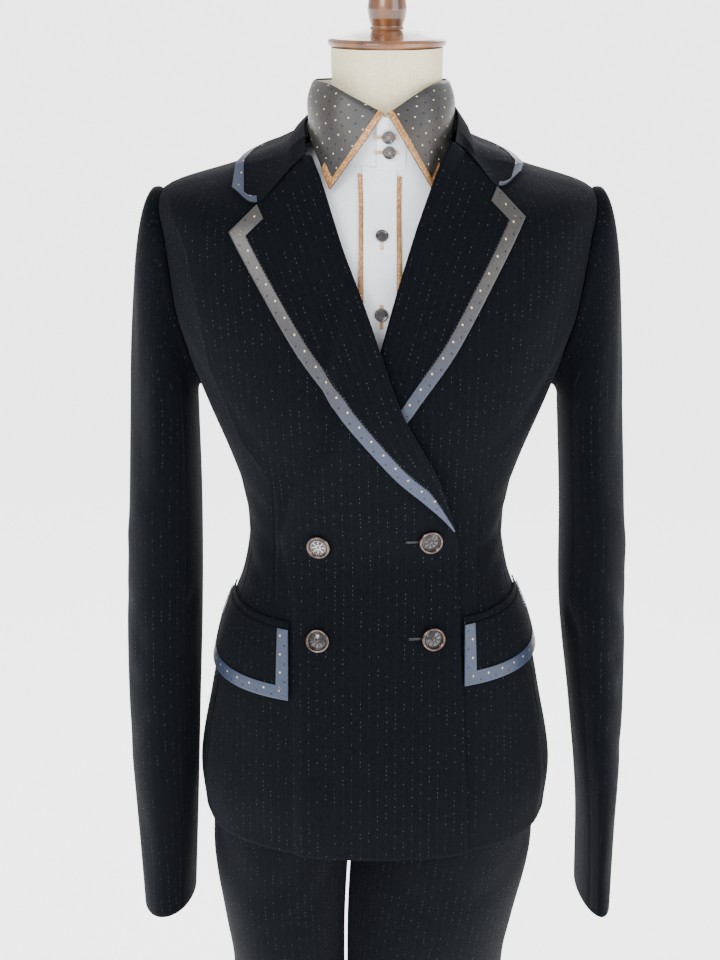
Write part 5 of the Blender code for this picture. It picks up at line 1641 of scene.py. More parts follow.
    def stand(self, lapels: Lapels) -> None:
        """Make the stand inside the fall.

        Args:
            lapels: the lapels that the fall meets.
        """
        lines = []
        stations = np.linspace(1.0, 4.0, 40)
        for side, run in ((Side.RIGHT, stations), (Side.LEFT, stations[-2::-1])):
            for station in run:
                fold = self.controls(side, float(station), lapels)[0]
                turn = smooth_read(np.arange(1, 5), self.stand_turns, station)
                foot = JACKET.lifted(side, turn, CUT.neck_row, -self.stand_sink)
                foot = foot + np.array((0, 0, self.stand_foot))
                head = fold - off_neck(fold) * self.stand_in - np.array((0, 0, self.stand_drop))
                share = np.linspace(0, 1, 10)[:, None]
                lines.append(foot * (1 - share) + head * share)
        panel = Panel.laid(np.array(lines), grid_normals(np.array(lines), (NECK_X, 0.0, 1.43)),
                           upright=False)
        self.cloth("jacket_collar_standing", panel, -LEAF / 2, LEAF / 2, self.wardrobe.suiting, "suiting",
                   ("jacket_collar_stand",), Hold.FOLDED)


@dataclass
class Sleeves(Maker):
    """Two-piece sleeves with a roped head."""

    table: tuple = (
        # height, right out, right in, left out, left in, depth, ahead, turn: the cuff first
        (0.679, 0.2290, 0.1800, 0.2330, 0.2030, 0.051, 0.000, 5.0),     # cuff
        (0.780, 0.2320, 0.1740, 0.2340, 0.1990, 0.053, 0.006, 4.0),     # wrist
        (0.889, 0.2350, 0.1685, 0.2360, 0.1870, 0.056, 0.008, 3.0),     # forearm
        (0.993, 0.2335, 0.1635, 0.2345, 0.1740, 0.059, 0.006, 1.0),     # elbow
        (1.093, 0.2285, 0.1615, 0.2300, 0.1710, 0.061, 0.000, 0.0),     # above the elbow
        (1.190, 0.2240, 0.1625, 0.2245, 0.1660, 0.063, -0.004, 0.0),    # biceps
    )
    seam_clock: float = 135.0
    head_rise: float = 0.0010
    head_first: tuple[float, ...] = (0.0022, 0.0042, 0.0030)     # out, more at the top, ahead
    head_second: tuple[float, ...] = (0.003, 0.013, 0.002)
    head_in: float = 0.003
    rope_swell: float = 0.0006
    left_skew: float = 0.012
    gap: float = 0.22
    step: float = 5.0
    cap_rows: int = 26
    arm_rows: int = 96

    def ring(self, side: Side, clock: Grid, height: Grid) -> Grid:
        """Points of a sleeve at heights: clock 0 outside, 90 front, 180 inside.

        Args:
            side: the arm.
            clock: angles round it, in degrees.
            height: Z of each point.

        Returns:
            The points.
        """
        table = np.array(self.table)
        read = smooth_read(table[:, 0], table[:, 1:], height)
        right = side is Side.RIGHT
        outer, inner = (read[..., 0], read[..., 1]) if right else (read[..., 2], read[..., 3])
        depth, ahead, turn = read[..., 4], read[..., 5], np.radians(read[..., 6])
        half = np.sqrt(((outer - inner) / 2) ** 2 - (depth * np.sin(turn)) ** 2) / np.cos(turn)
        clock = np.radians(clock)
        across, deep = half * np.cos(clock), depth * np.sin(clock)
        x = (outer + inner) / 2 + across * np.cos(turn) + deep * np.sin(turn)
        y = -ahead - deep * np.cos(turn) + across * np.sin(turn)
        return np.stack((side * x, y, np.broadcast_to(height, x.shape)), axis=-1)

    def head(self, side: Side, clock: Grid) -> Grid:
        """The sleeve cap from the armhole to the biceps, a column for each clock angle.

        Args:
            side: the arm.
            clock: angles round it, in degrees.

        Returns:
            The points, a line for each angle.
        """
        angle = np.radians(clock)
        turn, row = CUT.armhole(clock)
        foot = JACKET.point(side, turn - self.gap * np.sin(angle), row - 0.012 * np.cos(angle))
        biceps = self.ring(side, clock, np.full(clock.shape, self.table[-1][0]))
        top = np.maximum(np.cos(angle / 2), 0.0) ** 2
        front, level = np.sin(angle), np.zeros(clock.shape)
        drop = foot[..., 2] - biceps[..., 2]
        out, more, ahead = self.head_first
        first = foot + np.stack((side * (out + more * top), -ahead * front,
                                 self.head_rise * top ** 1.5), axis=-1)
        out, more, ahead = self.head_second
        second = first + np.stack((side * (out + more * top), -ahead * front, 0.0015 * top), axis=-1)
        third = biceps + np.stack((-side * self.head_in * top, level, 0.45 * drop), axis=-1)
        t = np.linspace(0, 1, self.cap_rows)[None, :, None]
        curve = ((1 - t) ** 3 * first[:, None] + 3 * t * (1 - t) ** 2 * second[:, None]
                 + 3 * t * t * (1 - t) * third[:, None] + t ** 3 * biceps[:, None])
        rope = np.linspace(0, 1, 5)[None, :-1, None]
        swell = np.sin(np.pi * rope) * self.rope_swell * top[:, None, None]
        start = foot[:, None] + (first - foot)[:, None] * rope
        start[..., 2:] += swell
        return np.concatenate((start, curve), axis=1)

    def creases(self, side: Side) -> tuple[Crease, ...]:
        """Soft bends of a hanging sleeve, most at the elbow.

        Args:
            side: the arm.

        Returns:
            Its creases.
        """
        skew = self.left_skew if side is Side.LEFT else 0.0
        table = (
            # clock, height, clock, height, depth, width, bow: from the first place to the second
            (100, 1.045, 20, 1.000, 0.0028, 0.012, 0.006),
            (150, 1.010, 60, 0.968, 0.0032, 0.010, -0.005),
            (120, 0.962, 40, 0.930, 0.0024, 0.011, 0.004),
            (60, 1.105, 15, 1.060, -0.0014, 0.014, 0.004),
            (80, 0.905, 30, 0.862, 0.0017, 0.013, -0.004),
            (30, 1.300, 40, 1.160, 0.0022, 0.014, 0.004),
            (75, 1.260, 60, 1.130, 0.0026, 0.015, -0.005),
            (-40, 1.290, -50, 1.150, 0.0022, 0.015, 0.004),
            (-110, 1.060, -30, 1.020, 0.0020, 0.013, 0.004),
            (-90, 0.975, -20, 0.955, 0.0018, 0.012, -0.004),
            (50, 0.800, 70, 0.720, 0.0014, 0.012, 0.003),
            (-60, 0.790, -80, 0.700, 0.0013, 0.014, 0.003),
            (10, 0.850, 0, 0.760, -0.0012, 0.016, 0.003),
        )
        top = self.table[-1][0]

        def end(clock: float, z: float) -> tuple[float, ...]:
            """An end of a crease; one above the biceps stands straight over it."""
            z -= skew
            return tuple(self.ring(side, np.array(float(clock)), np.array(min(z, top)))
                         + np.array((0.0, 0.0, max(z - top, 0.0))))

        return tuple(Crease(end(clock_a, z_a), end(clock_b, z_b), depth, width, bow)
                     for clock_a, z_a, clock_b, z_b, depth, width, bow in table)

    def build(self) -> None:
        """Make the top and under sleeve of both arms."""
        clock = np.arange(-self.seam_clock, 361 - self.seam_clock, self.step)
        split = int(round(2 * self.seam_clock / self.step))
        heights = edged(self.table[-1][0], self.table[0][0], self.arm_rows, 0.0022)[2:]
        for side in Side:
            arm = self.ring(side, clock[:, None], heights[None])
            whole = np.concatenate((self.head(side, clock), arm), axis=1)
            wrapped = np.concatenate((whole[-2:-1], whole, whole[1:2]))
            normals = unit(np.cross(np.gradient(wrapped, axis=1), np.gradient(wrapped, axis=0))[1:-1])
            if np.sum(normals * (whole - whole.mean(axis=0))) < 0:
                normals = -normals
            whole = creased(whole, normals, self.creases(side))
            girth, length = run_length(whole, 0), run_length(whole, 1)
            u = girth - girth[int(self.seam_clock / self.step)]
            cut = np.stack((u, length), axis=-1)
            for part, first, last in (("top", 0, split), ("under", split, len(clock) - 1)):
                points = whole[first:last + 1].copy()
                for edge, beyond in ((0, 1), (-1, -2)):
                    points[edge] += unit(points[beyond] - points[edge]) * SEAM / 2
                panel = Panel(points, normals[first:last + 1], cut[first:last + 1])
                self.cloth(f"{side.word}_sleeve_{part}", panel, -CLOTH, 0.0, self.wardrobe.suiting,
                           "suiting", (f"{side.word}_{part}_sleeve",), Hold.HUNG,
                           (f"{side.word}_jacket_front",))


@dataclass
class Pockets(Maker):
    """Flap pockets: a welt, a flap, and a dotted band round the flap."""

    top: float = 1.003
    depth: float = 0.062
    left_top: float = 1.0075
    left_depth: float = 0.0535
    welt: float = 0.006
    front_x: float = 0.0775
    end_turn: float = -6.0
    band_turn: float = 4.6
    lift: float = 0.0014
    satin: float = 0.0110
    gap: float = 0.0006
    end_steps: int = 7
    turns: int = 46
    sag: float = 0.0012
    sag_waves: float = 31.0
    welt_faces: tuple[float, float] = (-0.0005, 0.0010)     # off the flap's inner face

    def grid(self, side: Side, heights: Grid, sag: float) -> Panel:
        """A stretch of a flap or welt over the front, at heights from its top.

        Args:
            side: the side.
            heights: Z of each line, from the top down.
            sag: how far its foot stands off.

        Returns:
            Its panel.
        """
        table = np.array(JACKET.rows)[:7, 1]
        row = smooth_read(table, np.arange(7), heights)
        start = JACKET.turn_across(side, row, -self.front_x, by_side=True)
        inner, outer = start - self.band_turn, self.end_turn + self.band_turn
        share = np.linspace(0, 1, self.turns)
        ends = self.band_turn * edged(0.0, 1.0, self.end_steps, 0.06)
        turn = np.concatenate((start[:, None] - ends[:-2],
                               inner[:, None] + (outer - inner)[:, None] * share,
                               outer - np.broadcast_to(ends[2:], (len(start), self.end_steps))), axis=1)
        points, normals = JACKET.patch(side, turn, row[:, None])
        across = run_length(points, 1)
        down = np.broadcast_to((heights[0] - heights)[:, None], across.shape)
        curl = sag * (down / self.depth) ** 2 * (0.6 + 0.4 * np.cos(across * self.sag_waves + side))
        points = points + normals * curl[..., None]
        u = points[:, :1, 0] + side * across
        return Panel(points, normals, np.stack((u, -down), axis=-1))

    def build(self) -> None:
        """Make both pockets."""
        low = self.lift + LEAF + LAID
        for side in Side:
            top, depth = (self.top, self.depth) if side is Side.RIGHT else (self.left_top, self.left_depth)
            band_top = top - depth + self.satin
            heights = np.concatenate((edged(top, band_top, 18, 0.02)[:-1],
                                      edged(band_top, top - depth, 8, 0.05)[2:]))
            welt = edged(top + self.gap + self.welt, top + self.gap, 6, 0.12)
            strip = self.grid(side, welt, 0.0)
            edge = self.cloth(f"{side.word}_welt", strip, self.lift + self.welt_faces[0],
                              self.lift + self.welt_faces[1], self.wardrobe.suiting, "suiting",
                              (f"{side.word}_pocket_welt",), Hold.LAID, ())
            panel = self.grid(side, heights, self.sag)
            name = f"{side.word}_flap"
            self.cloth(name, panel, self.lift, self.lift + LEAF, self.wardrobe.suiting, "suiting",
                       (f"{side.word}_pocket_flap",), Hold.HUNG, (f"{side.word}_jacket_front",), (edge,))
            keep = no_cells(panel.points)
            keep[nearest(heights, band_top):] = True
            keep[:, :self.end_steps] = True
            keep[:, self.end_steps + self.turns - 1:] = True
            across = run_length(panel.points, 1)
            from_end = np.minimum(across, across[:, -1:] - across)
            from_foot = np.broadcast_to((heights - heights[-1])[:, None], across.shape)
            far = across > across[:, -1:] / 2
            cut = mitred(from_foot, from_end, across,
                         np.where(far, across[-1, -1] + from_foot, -from_foot))
            band = Panel(panel.points, panel.normals, cut, keep)
            self.cloth(f"{name}_satin", band, low, low + BAND, self.wardrobe.satin, "satin",
                       (f"{side.word}_flap_band",), Hold.LAID, (name,))


# ---- the dress form --------------------------------------------------------------------------
@dataclass
class DressForm(Maker):
    """The limbless linen torso, its wooden neck cap, pole and base."""

    lean: float = 0.0085
    rows: int = 150
    sides: int = 128
    cap: tuple = ((0.0, 1.5036), (0.0485, 1.5036), (0.0508, 1.5050), (0.0508, 1.5085), (0.0480, 1.5105),
                  (0.0300, 1.5150), (0.0150, 1.5175), (0.0135, 1.5200), (0.0158, 1.5270),
                  (0.0168, 1.5345), (0.0158, 1.5430), (0.0118, 1.5480), (0.0118, 1.5500),
                  (0.0135, 1.5560), (0.0120, 1.5650), (0.0070, 1.5720), (0.0, 1.5750))
    base: tuple = ((0.0, 0.0), (0.176, 0.0), (0.180, 0.004), (0.180, 0.018), (0.174, 0.024),
                   (0.120, 0.0275), (0.0, 0.030))
    pole_radius: float = 0.0125

    def torso(self) -> Piece:
        """The linen torso, closed at both ends."""
        turn = np.linspace(0, 360, self.sides, endpoint=False)
        side = np.where((turn < 90) | (turn > 270), 1, -1)
        local = np.where(turn <= 90, turn, np.where(turn <= 270, 180 - turn, turn - 360))
        rows = np.linspace(0, FORM.last, self.rows)
        points = FORM.point(side[None], local[None] + 0 * rows[:, None], rows[:, None] + 0 * local[None])
        verts = points.reshape(-1, 3).tolist()
        faces = []
        for i in range(self.rows - 1):
            for k in range(self.sides):
                n = (k + 1) % self.sides
                faces.append((i * self.sides + k, i * self.sides + n,
                              (i + 1) * self.sides + n, (i + 1) * self.sides + k))
        for row, flip in ((0, True), (self.rows - 1, False)):
            middle = len(verts)
            verts.append(points[row].mean(axis=0).tolist())
            for k in range(self.sides):
                a, b = row * self.sides + k, row * self.sides + (k + 1) % self.sides
                faces.append((b, a, middle) if flip else (a, b, middle))
        piece = new_object("dress_form_body", np.array(verts), faces)
        face_outwards(piece)
        return piece

    def build(self) -> None:
        """Make the four pieces."""
        wardrobe = self.wardrobe
        self.dresser.dress(self.torso(), [wardrobe.linen], "linen", ("form_torso",))
        cap = turned("dress_form_finial", rounded_profile(self.cap, 6), (self.lean, 0.0), 96)
        self.dresser.dress(cap, [wardrobe.wood], "wood", ("form_neck_cap",))
        low, high = self.base[-1][1] + SEAM, FORM.rows[0][1] - SEAM
        radius = self.pole_radius
        profile = ((0.0, low), (radius, low), (radius, high), (0.0, high))
        pole = turned("dress_form_post", rounded_profile(profile, 1), sides=64)
        self.dresser.dress(pole, [wardrobe.wood], "wood", ("form_pole",))
        stand = turned("dress_form_stand", rounded_profile(self.base, 6), sides=160)
        self.dresser.dress(stand, [wardrobe.board], "wood", ("form_base",))


def face_outwards(piece: Piece) -> None:
    """Turn a closed piece's faces outwards."""
    work = bmesh.new()
    work.from_mesh(piece.data)
    bmesh.ops.recalc_face_normals(work, faces=work.faces)
    work.to_mesh(piece.data)
    work.free()


def rounded_profile(profile: Grid, steps: int, corner: float = 0.0008) -> Grid:
    """A profile with each corner between its ends rounded a little.

    Args:
        profile: (radius, height) pairs.
        steps: stops on each rounded corner, or 1 for a plain bevel.
        corner: how far from the corner the rounding starts.

    Returns:
        The new pairs.
    """
    pairs = np.asarray(profile, dtype=float)
    made = [pairs[0]]
    for before, here, after in zip(pairs, pairs[1:], pairs[2:]):
        back, ahead = before - here, after - here
        reach = min(corner, 0.4 * np.linalg.norm(back), 0.4 * np.linalg.norm(ahead))
        start, end = here + unit(back) * reach, here + unit(ahead) * reach
        for t in np.linspace(0, 1, steps + 1):
            made.append((1 - t) ** 2 * start + 2 * t * (1 - t) * here + t * t * end)
    made.append(pairs[-1])
    return np.array(made)


# ---- the trousers ------------------------------------------------------------------------------
@dataclass
class Trousers(Maker):
    """Four leg panels and a waistband."""

    table: tuple = (
        # height, right out, left out, front, back, cleft, leg shift
        (0.046, 0.1400, 0.1270, 0.074, 0.080, -0.0290, 0.004),   # hem
        (0.280, 0.1390, 0.1260, 0.070, 0.076, -0.0290, 0.000),   # shin
        (0.480, 0.1390, 0.1270, 0.074, 0.078, -0.0290, -0.004),  # knee
        (0.611, 0.1430, 0.1300, 0.084, 0.086, -0.0290, -0.004),  # lower thigh
        (0.667, 0.1500, 0.1390, 0.090, 0.094, -0.0280, 0.000),   # thigh
        (0.735, 0.1585, 0.1530, 0.100, 0.101, -0.0240, 0.000),   # top of the thigh
        (0.789, 0.1575, 0.1555, 0.107, 0.108, -0.0180, 0.000),   # seat
        (0.850, 0.1580, 0.1580, 0.111, 0.115, -0.0080, 0.000),   # fork
        (0.906, 0.1490, 0.1490, 0.111, 0.116, 0.0000, 0.000),    # hip
        (0.975, 0.1350, 0.1350, 0.103, 0.102, 0.0000, 0.000),    # high hip
        (1.060, 0.1115, 0.1115, 0.0940, 0.0795, 0.0000, 0.000),  # waist
    )
    fork: float = 0.850
    crotch: float = 0.765
    waistband: float = 0.036
    seam_angle: float = 0.0018
    leg_space: float = 0.0012
    rows: int = 150
    columns: int = 36

    def point(self, side: Side, front: bool, height: Grid, share: Grid) -> Grid:
        """Points of a panel: share 0 at the side seam, 1 at the centre seam or inseam.

        Args:
            side: the leg.
            front: a front panel, not a back one.
            height: Z of each point.
            share: how far round the panel each point is.

        Returns:
            The points.
        """
        table = np.array(self.table)
        read = smooth_read(table[:, 0], table[:, 1:], height)
        outer = read[..., 0] if side is Side.RIGHT else read[..., 1]
        depth = read[..., 2] if front else read[..., 3]
        cleft, shift = read[..., 4], read[..., 5]
        part = smoothstep(0.0, 1.0, (self.fork - height) / (self.fork - self.crotch))
        inner = side * cleft + SEAM / 2 + self.leg_space * part
        reach = np.radians(90 + 90 * part)
        half = (outer - inner) / (1 - np.cos(reach))
        angle = self.seam_angle + share * (reach - self.seam_angle * (1 + part))
        square = 1 + 0.05 * (1 - part) * np.sin(2 * np.minimum(angle, math.pi / 2)) ** 2
        y = (-1 if front else 1) * depth * square * np.sin(angle) - shift * part
        x = outer - half + half * square * np.cos(angle)
        return np.stack((side * x, y, np.broadcast_to(height, x.shape)), axis=-1)

    def grid(self, side: Side, front: bool, heights: Grid, shares: Grid) -> tuple[Grid, Grid]:
        """Points and normals of a panel."""
        height, share = heights[:, None] + 0 * shares[None], shares[None] + 0 * heights[:, None]
        points = self.point(side, front, height, share)
        across = self.point(side, front, height, share + 0.01) - self.point(side, front, height, share - 0.01)
        up = self.point(side, front, height + 0.004, share) - self.point(side, front, height - 0.004, share)
        return points, unit(np.cross(across, up) * side * (-1 if front else 1))

    def creases(self, side: Side, front: bool) -> tuple[Crease, ...]:
        """Soft folds at the crotch, the knee and the hem, uneven from leg to leg.

        Args:
            side: the leg.
            front: a front panel, not a back one.

        Returns:
            Its creases.
        """
        skew = 0.020 if side is Side.LEFT else 0.0
        table = (
            # height, share, height, share, depth, width, bow
            (0.830, 0.92, 0.720, 0.45, 0.0026, 0.014, 0.006),
            (0.770, 0.85, 0.690, 0.55, 0.0022, 0.013, -0.004),
            (0.800, 0.10, 0.730, 0.40, 0.0016, 0.016, 0.004),
            (0.560, 0.75, 0.520, 0.30, 0.0022, 0.014, 0.005),
            (0.500, 0.65, 0.465, 0.20, 0.0026, 0.013, -0.005),
            (0.455, 0.80, 0.430, 0.40, 0.0020, 0.014, 0.004),
            (0.360, 0.30, 0.240, 0.55, -0.0014, 0.020, 0.005),
            (0.190, 0.70, 0.150, 0.25, 0.0020, 0.015, 0.004),
            (0.120, 0.30, 0.095, 0.75, 0.0026, 0.012, -0.004),
            (0.086, 0.65, 0.070, 0.20, 0.0020, 0.011, 0.003),
        )
        made = []
        for k, (z_a, s_a, z_b, s_b, depth, width, bow) in enumerate(table):
            drop = skew * math.sin(1.9 * k) + (0.0 if front else 0.012 * math.cos(2.3 * k))
            ends = [tuple(self.point(side, front, np.array(max(z + drop, 0.05)), np.array(s)))
                    for z, s in ((z_a, s_a), (z_b, s_b))]
            made.append(Crease(ends[0], ends[1], depth, width, bow))
        return tuple(made)

    def build(self) -> None:
        """Make the panels and the waistband."""
        wardrobe = self.wardrobe
        top = self.table[-1][0] - self.waistband - SEAM
        heights = edged(top, self.table[0][0], self.rows, 0.0018)
        shares = edged(0.0, 1.0, self.columns, 0.005)
        for side in Side:
            for front, word in ((True, "front"), (False, "back")):
                points, normals = self.grid(side, front, heights, shares)
                points = creased(points, normals, self.creases(side, front))
                panel = Panel.laid(points, normals, side * from_middle(points))
                self.cloth(f"{side.word}_leg_{word}", panel, -CLOTH, 0.0, wardrobe.suiting, "suiting",
                           (f"trouser_{side.word}_{word}",))
        band, out = [], []
        heights = edged(self.table[-1][0] - self.waistband, self.table[-1][0], 8, 0.05)
        shares = np.linspace(0, 1, 34)
        runs = ((Side.RIGHT, True, shares[::-1]), (Side.RIGHT, False, shares[1:-1]),
                (Side.LEFT, False, shares[::-1][:-1]), (Side.LEFT, True, shares[1:]))
        for side, front, run in runs:
            points, normals = self.grid(side, front, heights, run)
            band.append(points.transpose(1, 0, 2))
            out.append(normals.transpose(1, 0, 2))
        strip = Panel.laid(np.concatenate(band), np.concatenate(out), upright=False)
        self.cloth("trousers_waistband_strip", strip, -CLOTH, 0.0, wardrobe.suiting, "suiting",
                   ("trouser_waistband",))


# ---- the shirt -----------------------------------------------------------------------------------
@dataclass
class Shirt(Maker):
    """The shirt's fronts and back, placket with its copper stripes, stand, collar and piping."""

    least_lift: float = 0.0026
    ease: float = 0.0030
    ease_rows: tuple[float, ...] = (3.0, 4.2, 8.2, 6.2)     # comes in from the waist, goes by the shoulder
    low_row: float = 2.90
    armhole_rows: tuple[float, float] = (5.2, 7.0)
    neck_row: float = 9.40
    armhole_turn: float = 22.0
    placket_low: float = 3.36
    placket_lift: float = 0.0020
    stripes: tuple[float, float] = (-0.0138, 0.0182)
    stripe_width: float = 0.0035
    wide_strip: float = 0.010
    strip_step: float = 0.0008
    table: tuple = (
        # fold x, y, z, edge x, y, z
        (0.0035, -0.0635, 1.4530, 0.0415, -0.0656, 1.3930),   # front edge, down to the tip
        (0.0390, -0.0460, 1.4735, 0.0560, -0.0420, 1.4200),   # over the collar bone
        (0.0570, 0.0000, 1.4755, 0.0620, -0.0010, 1.4400),    # side
        (0.0420, 0.0420, 1.4735, 0.0465, 0.0460, 1.4400),     # behind the side
        (0.0000, 0.0595, 1.4730, 0.0000, 0.0640, 1.4400),     # centre back
    )
    # front edge's shift: fold x, tip x, tip z
    right_front: tuple = (-0.0055, 0.0018, -0.0024)
    left_front: tuple = (0.0010, 0.0022, -0.0040)
    leaf_steps: int = 30
    leaf_bulge: float = 0.0032
    leaf_lift: float = 0.0006
    fold_tuck: float = 0.0010
    fold_drop: float = 0.0002
    fold_soft: float = 0.03
    stand_turns: tuple[float, ...] = (86.0, 50.0, 0.0, -45.0, -90.0)
    stand_in: float = 0.0012
    stand_lift: float = 0.0008
    ripple: tuple[float, ...] = (0.00035, 92.0, 31.0, 1.0)   # the placket's: depth, two waves, start
    piping_end: float = 0.12
    tip_end: float = 0.50
    lap_x: float = 0.0240
    lap_back: float = 0.0006
    lap_columns: int = 30
    lap_round: float = 0.10
    lap_lift: float = 0.0011
    seam_lap: float = 0.0030

    def lift(self, row: Grid) -> Grid:
        """How far the shirt stands off the form."""
        ease = smoothstep(*self.ease_rows[:2], row) * smoothstep(*self.ease_rows[2:], row)
        return self.least_lift + self.ease * ease

    def start(self, row: Grid) -> Grid:
        """The turn of a front's or back's side edge."""
        low, high = self.armhole_rows
        share = np.clip((row - low) / (high - low), 0.0, 1.0)
        return self.armhole_turn * np.sqrt(np.maximum(1 - (2 * share - 1) ** 2, 0.0))

    def rows(self) -> Grid:
        """The rows of the fronts and the back."""
        low, high = self.armhole_rows
        around = low + (high - low) * (1 - np.cos(math.pi * np.linspace(0, 1, 22))) / 2
        return np.concatenate((np.linspace(self.low_row, low, 34)[:-1], around,
                               np.linspace(high, self.neck_row, 40)[1:]))

    def half(self, side: Side, front: bool, columns: int = 34) -> tuple[Grid, Grid]:
        """Points and normals of a front, or of half of the back.

        Args:
            side: the side.
            front: a front, not half of the back.
            columns: stops across it.

        Returns:
            Points and directions.
        """
        rows = self.rows()
        start = self.start(rows) + SEAM_TURN
        meet = sum(self.stripes) / 2 + side * SEAM
        end = FORM.turn_across(side, rows, meet) if front else np.full(len(rows), 90.0)
        turn = start[:, None] + (end - start)[:, None] * np.linspace(0, 1, columns)
        points, normals = FORM.patch(side, turn if front else -turn, rows[:, None])
        return points + normals * self.lift(rows)[:, None, None], normals

    def strip(self, name: str, left: float, right: float, rows: Grid, material: Material,
              slot: str, node: str, trims: tuple = ()) -> Piece:
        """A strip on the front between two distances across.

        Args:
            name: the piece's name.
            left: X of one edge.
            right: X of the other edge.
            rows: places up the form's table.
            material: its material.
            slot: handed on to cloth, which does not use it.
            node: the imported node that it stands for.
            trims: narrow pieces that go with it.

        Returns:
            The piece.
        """
        wide = right - left > self.wide_strip
        across = edged(left, right, max(int((right - left) / self.strip_step), 3), 0.01 if wide else 0.08)
        turn = np.stack([FORM.turn_across(Side.LEFT, rows, x) for x in across], axis=1)
        points, normals = FORM.patch(Side.LEFT, turn, rows[:, None])
        points = points + normals * (self.lift(rows) + self.placket_lift - FINE / 2)[:, None, None]
        if wide:
            depth, fine, broad, start = self.ripple
            height = points[..., 2]
            ripple = depth * np.sin(height * fine) * np.sin(height * broad + start)
            points = points + normals * ripple[..., None]
        rests_on = ("right_shirt_front", "left_shirt_front") if wide else ()
        return self.cloth(name, Panel.laid(points, normals), 0.0, FINE, material, slot, (node,), Hold.LAID,
                          rests_on, trims)

    def collar_line(self, side: Side, station: float) -> Grid:
        """The points of the collar's leaf from its fold to its edge.

        Args:
            side: the side.
            station: 0 at the front edge, 4 at centre back.

        Returns:
            The points.
        """
        read = smooth_read(np.arange(5), np.array(self.table), station)
        front = self.right_front if side is Side.RIGHT else self.left_front
        near = float(smoothstep(0.8, 0.0, station))
        fold = np.array((side * (read[0] + front[0] * near) + NECK_X, read[1], read[2]))
        edge = np.array((side * (read[3] + front[1] * near) + NECK_X, read[4],
                         read[5] + front[2] * near))
        out = off_neck(fold)
        share = np.concatenate((np.linspace(0, 0.90, self.leaf_steps), edged(0.90, 1.0, 6, 0.12)[2:]))
        soft = np.exp(-(share / self.fold_soft) ** 2)
        bulge = self.leaf_bulge * np.sin(math.pi * np.minimum(share * 1.15, 1.0)) + self.leaf_lift
        line = fold + (edge - fold) * share[:, None] + out * (bulge - self.fold_tuck * soft)[:, None]
        line[:, 2] -= self.fold_drop * soft
        return line

    def stand_line(self, side: Side, station: float, steps: int = 10) -> Grid:
        """Points up the stand, from the neck seam to just inside the fold.

        Args:
            side: the side.
            station: 0 at the front edge, 4 at centre back.
            steps: how many points.

        Returns:
            The points.
        """
        fold = self.collar_line(side, station)[0]
        head = fold - (off_neck(fold) + np.array((0, 0, 1))) * self.stand_in
        turn = smooth_read(np.arange(5), self.stand_turns, station)
        row = np.array(self.neck_row + 0.03)
        foot = FORM.lifted(side, turn, row, self.lift(row) + self.stand_lift)
        foot = foot - np.array((0, 0, self.seam_lap))
        return foot + (head - foot) * np.linspace(0, 1, steps)[:, None]

    @staticmethod
    def round_neck(line: Callable[[Side, float], Grid], stations: Grid) -> Grid:
        """Lines at stations of the right half and, back from the centre, of the left half."""
        return np.array([line(Side.RIGHT, s) for s in stations]
                        + [line(Side.LEFT, s) for s in stations[-2::-1]])

    def overlap(self) -> None:
        """Make the stand's front end, which laps over the other one and carries the buttonholes."""
        lines = []
        runs = np.array([self.stand_line(Side.LEFT, s) for s in np.linspace(0.0, 0.6, 61)])
        for share in np.linspace(0, 1, self.lap_columns):
            x = -self.lap_back + (self.lap_x + self.lap_back) * share
            foot, head = (np.array([np.interp(x, runs[:, end, 0], runs[:, end, k]) for k in range(3)])
                          for end in (0, -1))
            foot[0] = head[0] = x
            round_off = max(1 - (max(share - self.lap_round, 0) / (1 - self.lap_round)) ** 2.0, 0.0)
            head = foot + (head - foot) * (0.44 + 0.54 * math.sqrt(round_off))
            out = unit(np.cross((1.0, 0.0, 0.0), head - foot))
            run = foot - (head - foot) * 0.02 + (head - foot) * 1.02 * np.linspace(0, 1, 22)[:, None]
            lines.append(run + out * self.lap_lift)
        points = np.array(lines)
        panel = Panel.laid(points, grid_normals(points, (NECK_X, 0.0, 1.42)), upright=False)
        self.cloth("shirt_stand_lap", panel, -FINE / 2, FINE / 2, self.wardrobe.shirting, "shirting", (),
                   Hold.LAID, ("shirt_standing_band",))

    def build(self) -> None:
        """Make every piece of the shirt."""
        wardrobe = self.wardrobe
        for side in Side:
            points, normals = self.half(side, True)
            arc = run_length(points, 1)
            panel = Panel.laid(points, normals, side * (arc[:, -1:] - arc))
            self.cloth(f"{side.word}_shirt_front", panel, -FINE / 2, FINE / 2, wardrobe.shirting,
                       "shirting", (f"shirt_{side.word}_front",))
        right, left = self.half(Side.RIGHT, False), self.half(Side.LEFT, False)
        points, normals = (np.concatenate((a, b[:, -2::-1]), axis=1) for a, b in zip(right, left))
        self.cloth("back_of_shirt", Panel.laid(points, normals), -FINE / 2, FINE / 2, wardrobe.shirting,
                   "shirting", ("shirt_back",))
        rows = np.linspace(self.placket_low, self.neck_row, 120)
        inner = self.stripe_width / 2 + SEAM
        stripes = tuple(self.strip(f"{side.word}_copper_stripe", middle - self.stripe_width / 2,
                                   middle + self.stripe_width / 2, rows[:-3], wardrobe.tape, "piping",
                                   f"placket_{side.word}_stripe")
                        for middle, side in zip(self.stripes, Side))
        self.strip("button_placket", self.stripes[0] + inner, self.stripes[1] - inner, rows,
                   wardrobe.shirting, "shirting", "shirt_placket", stripes)
        self.collar()

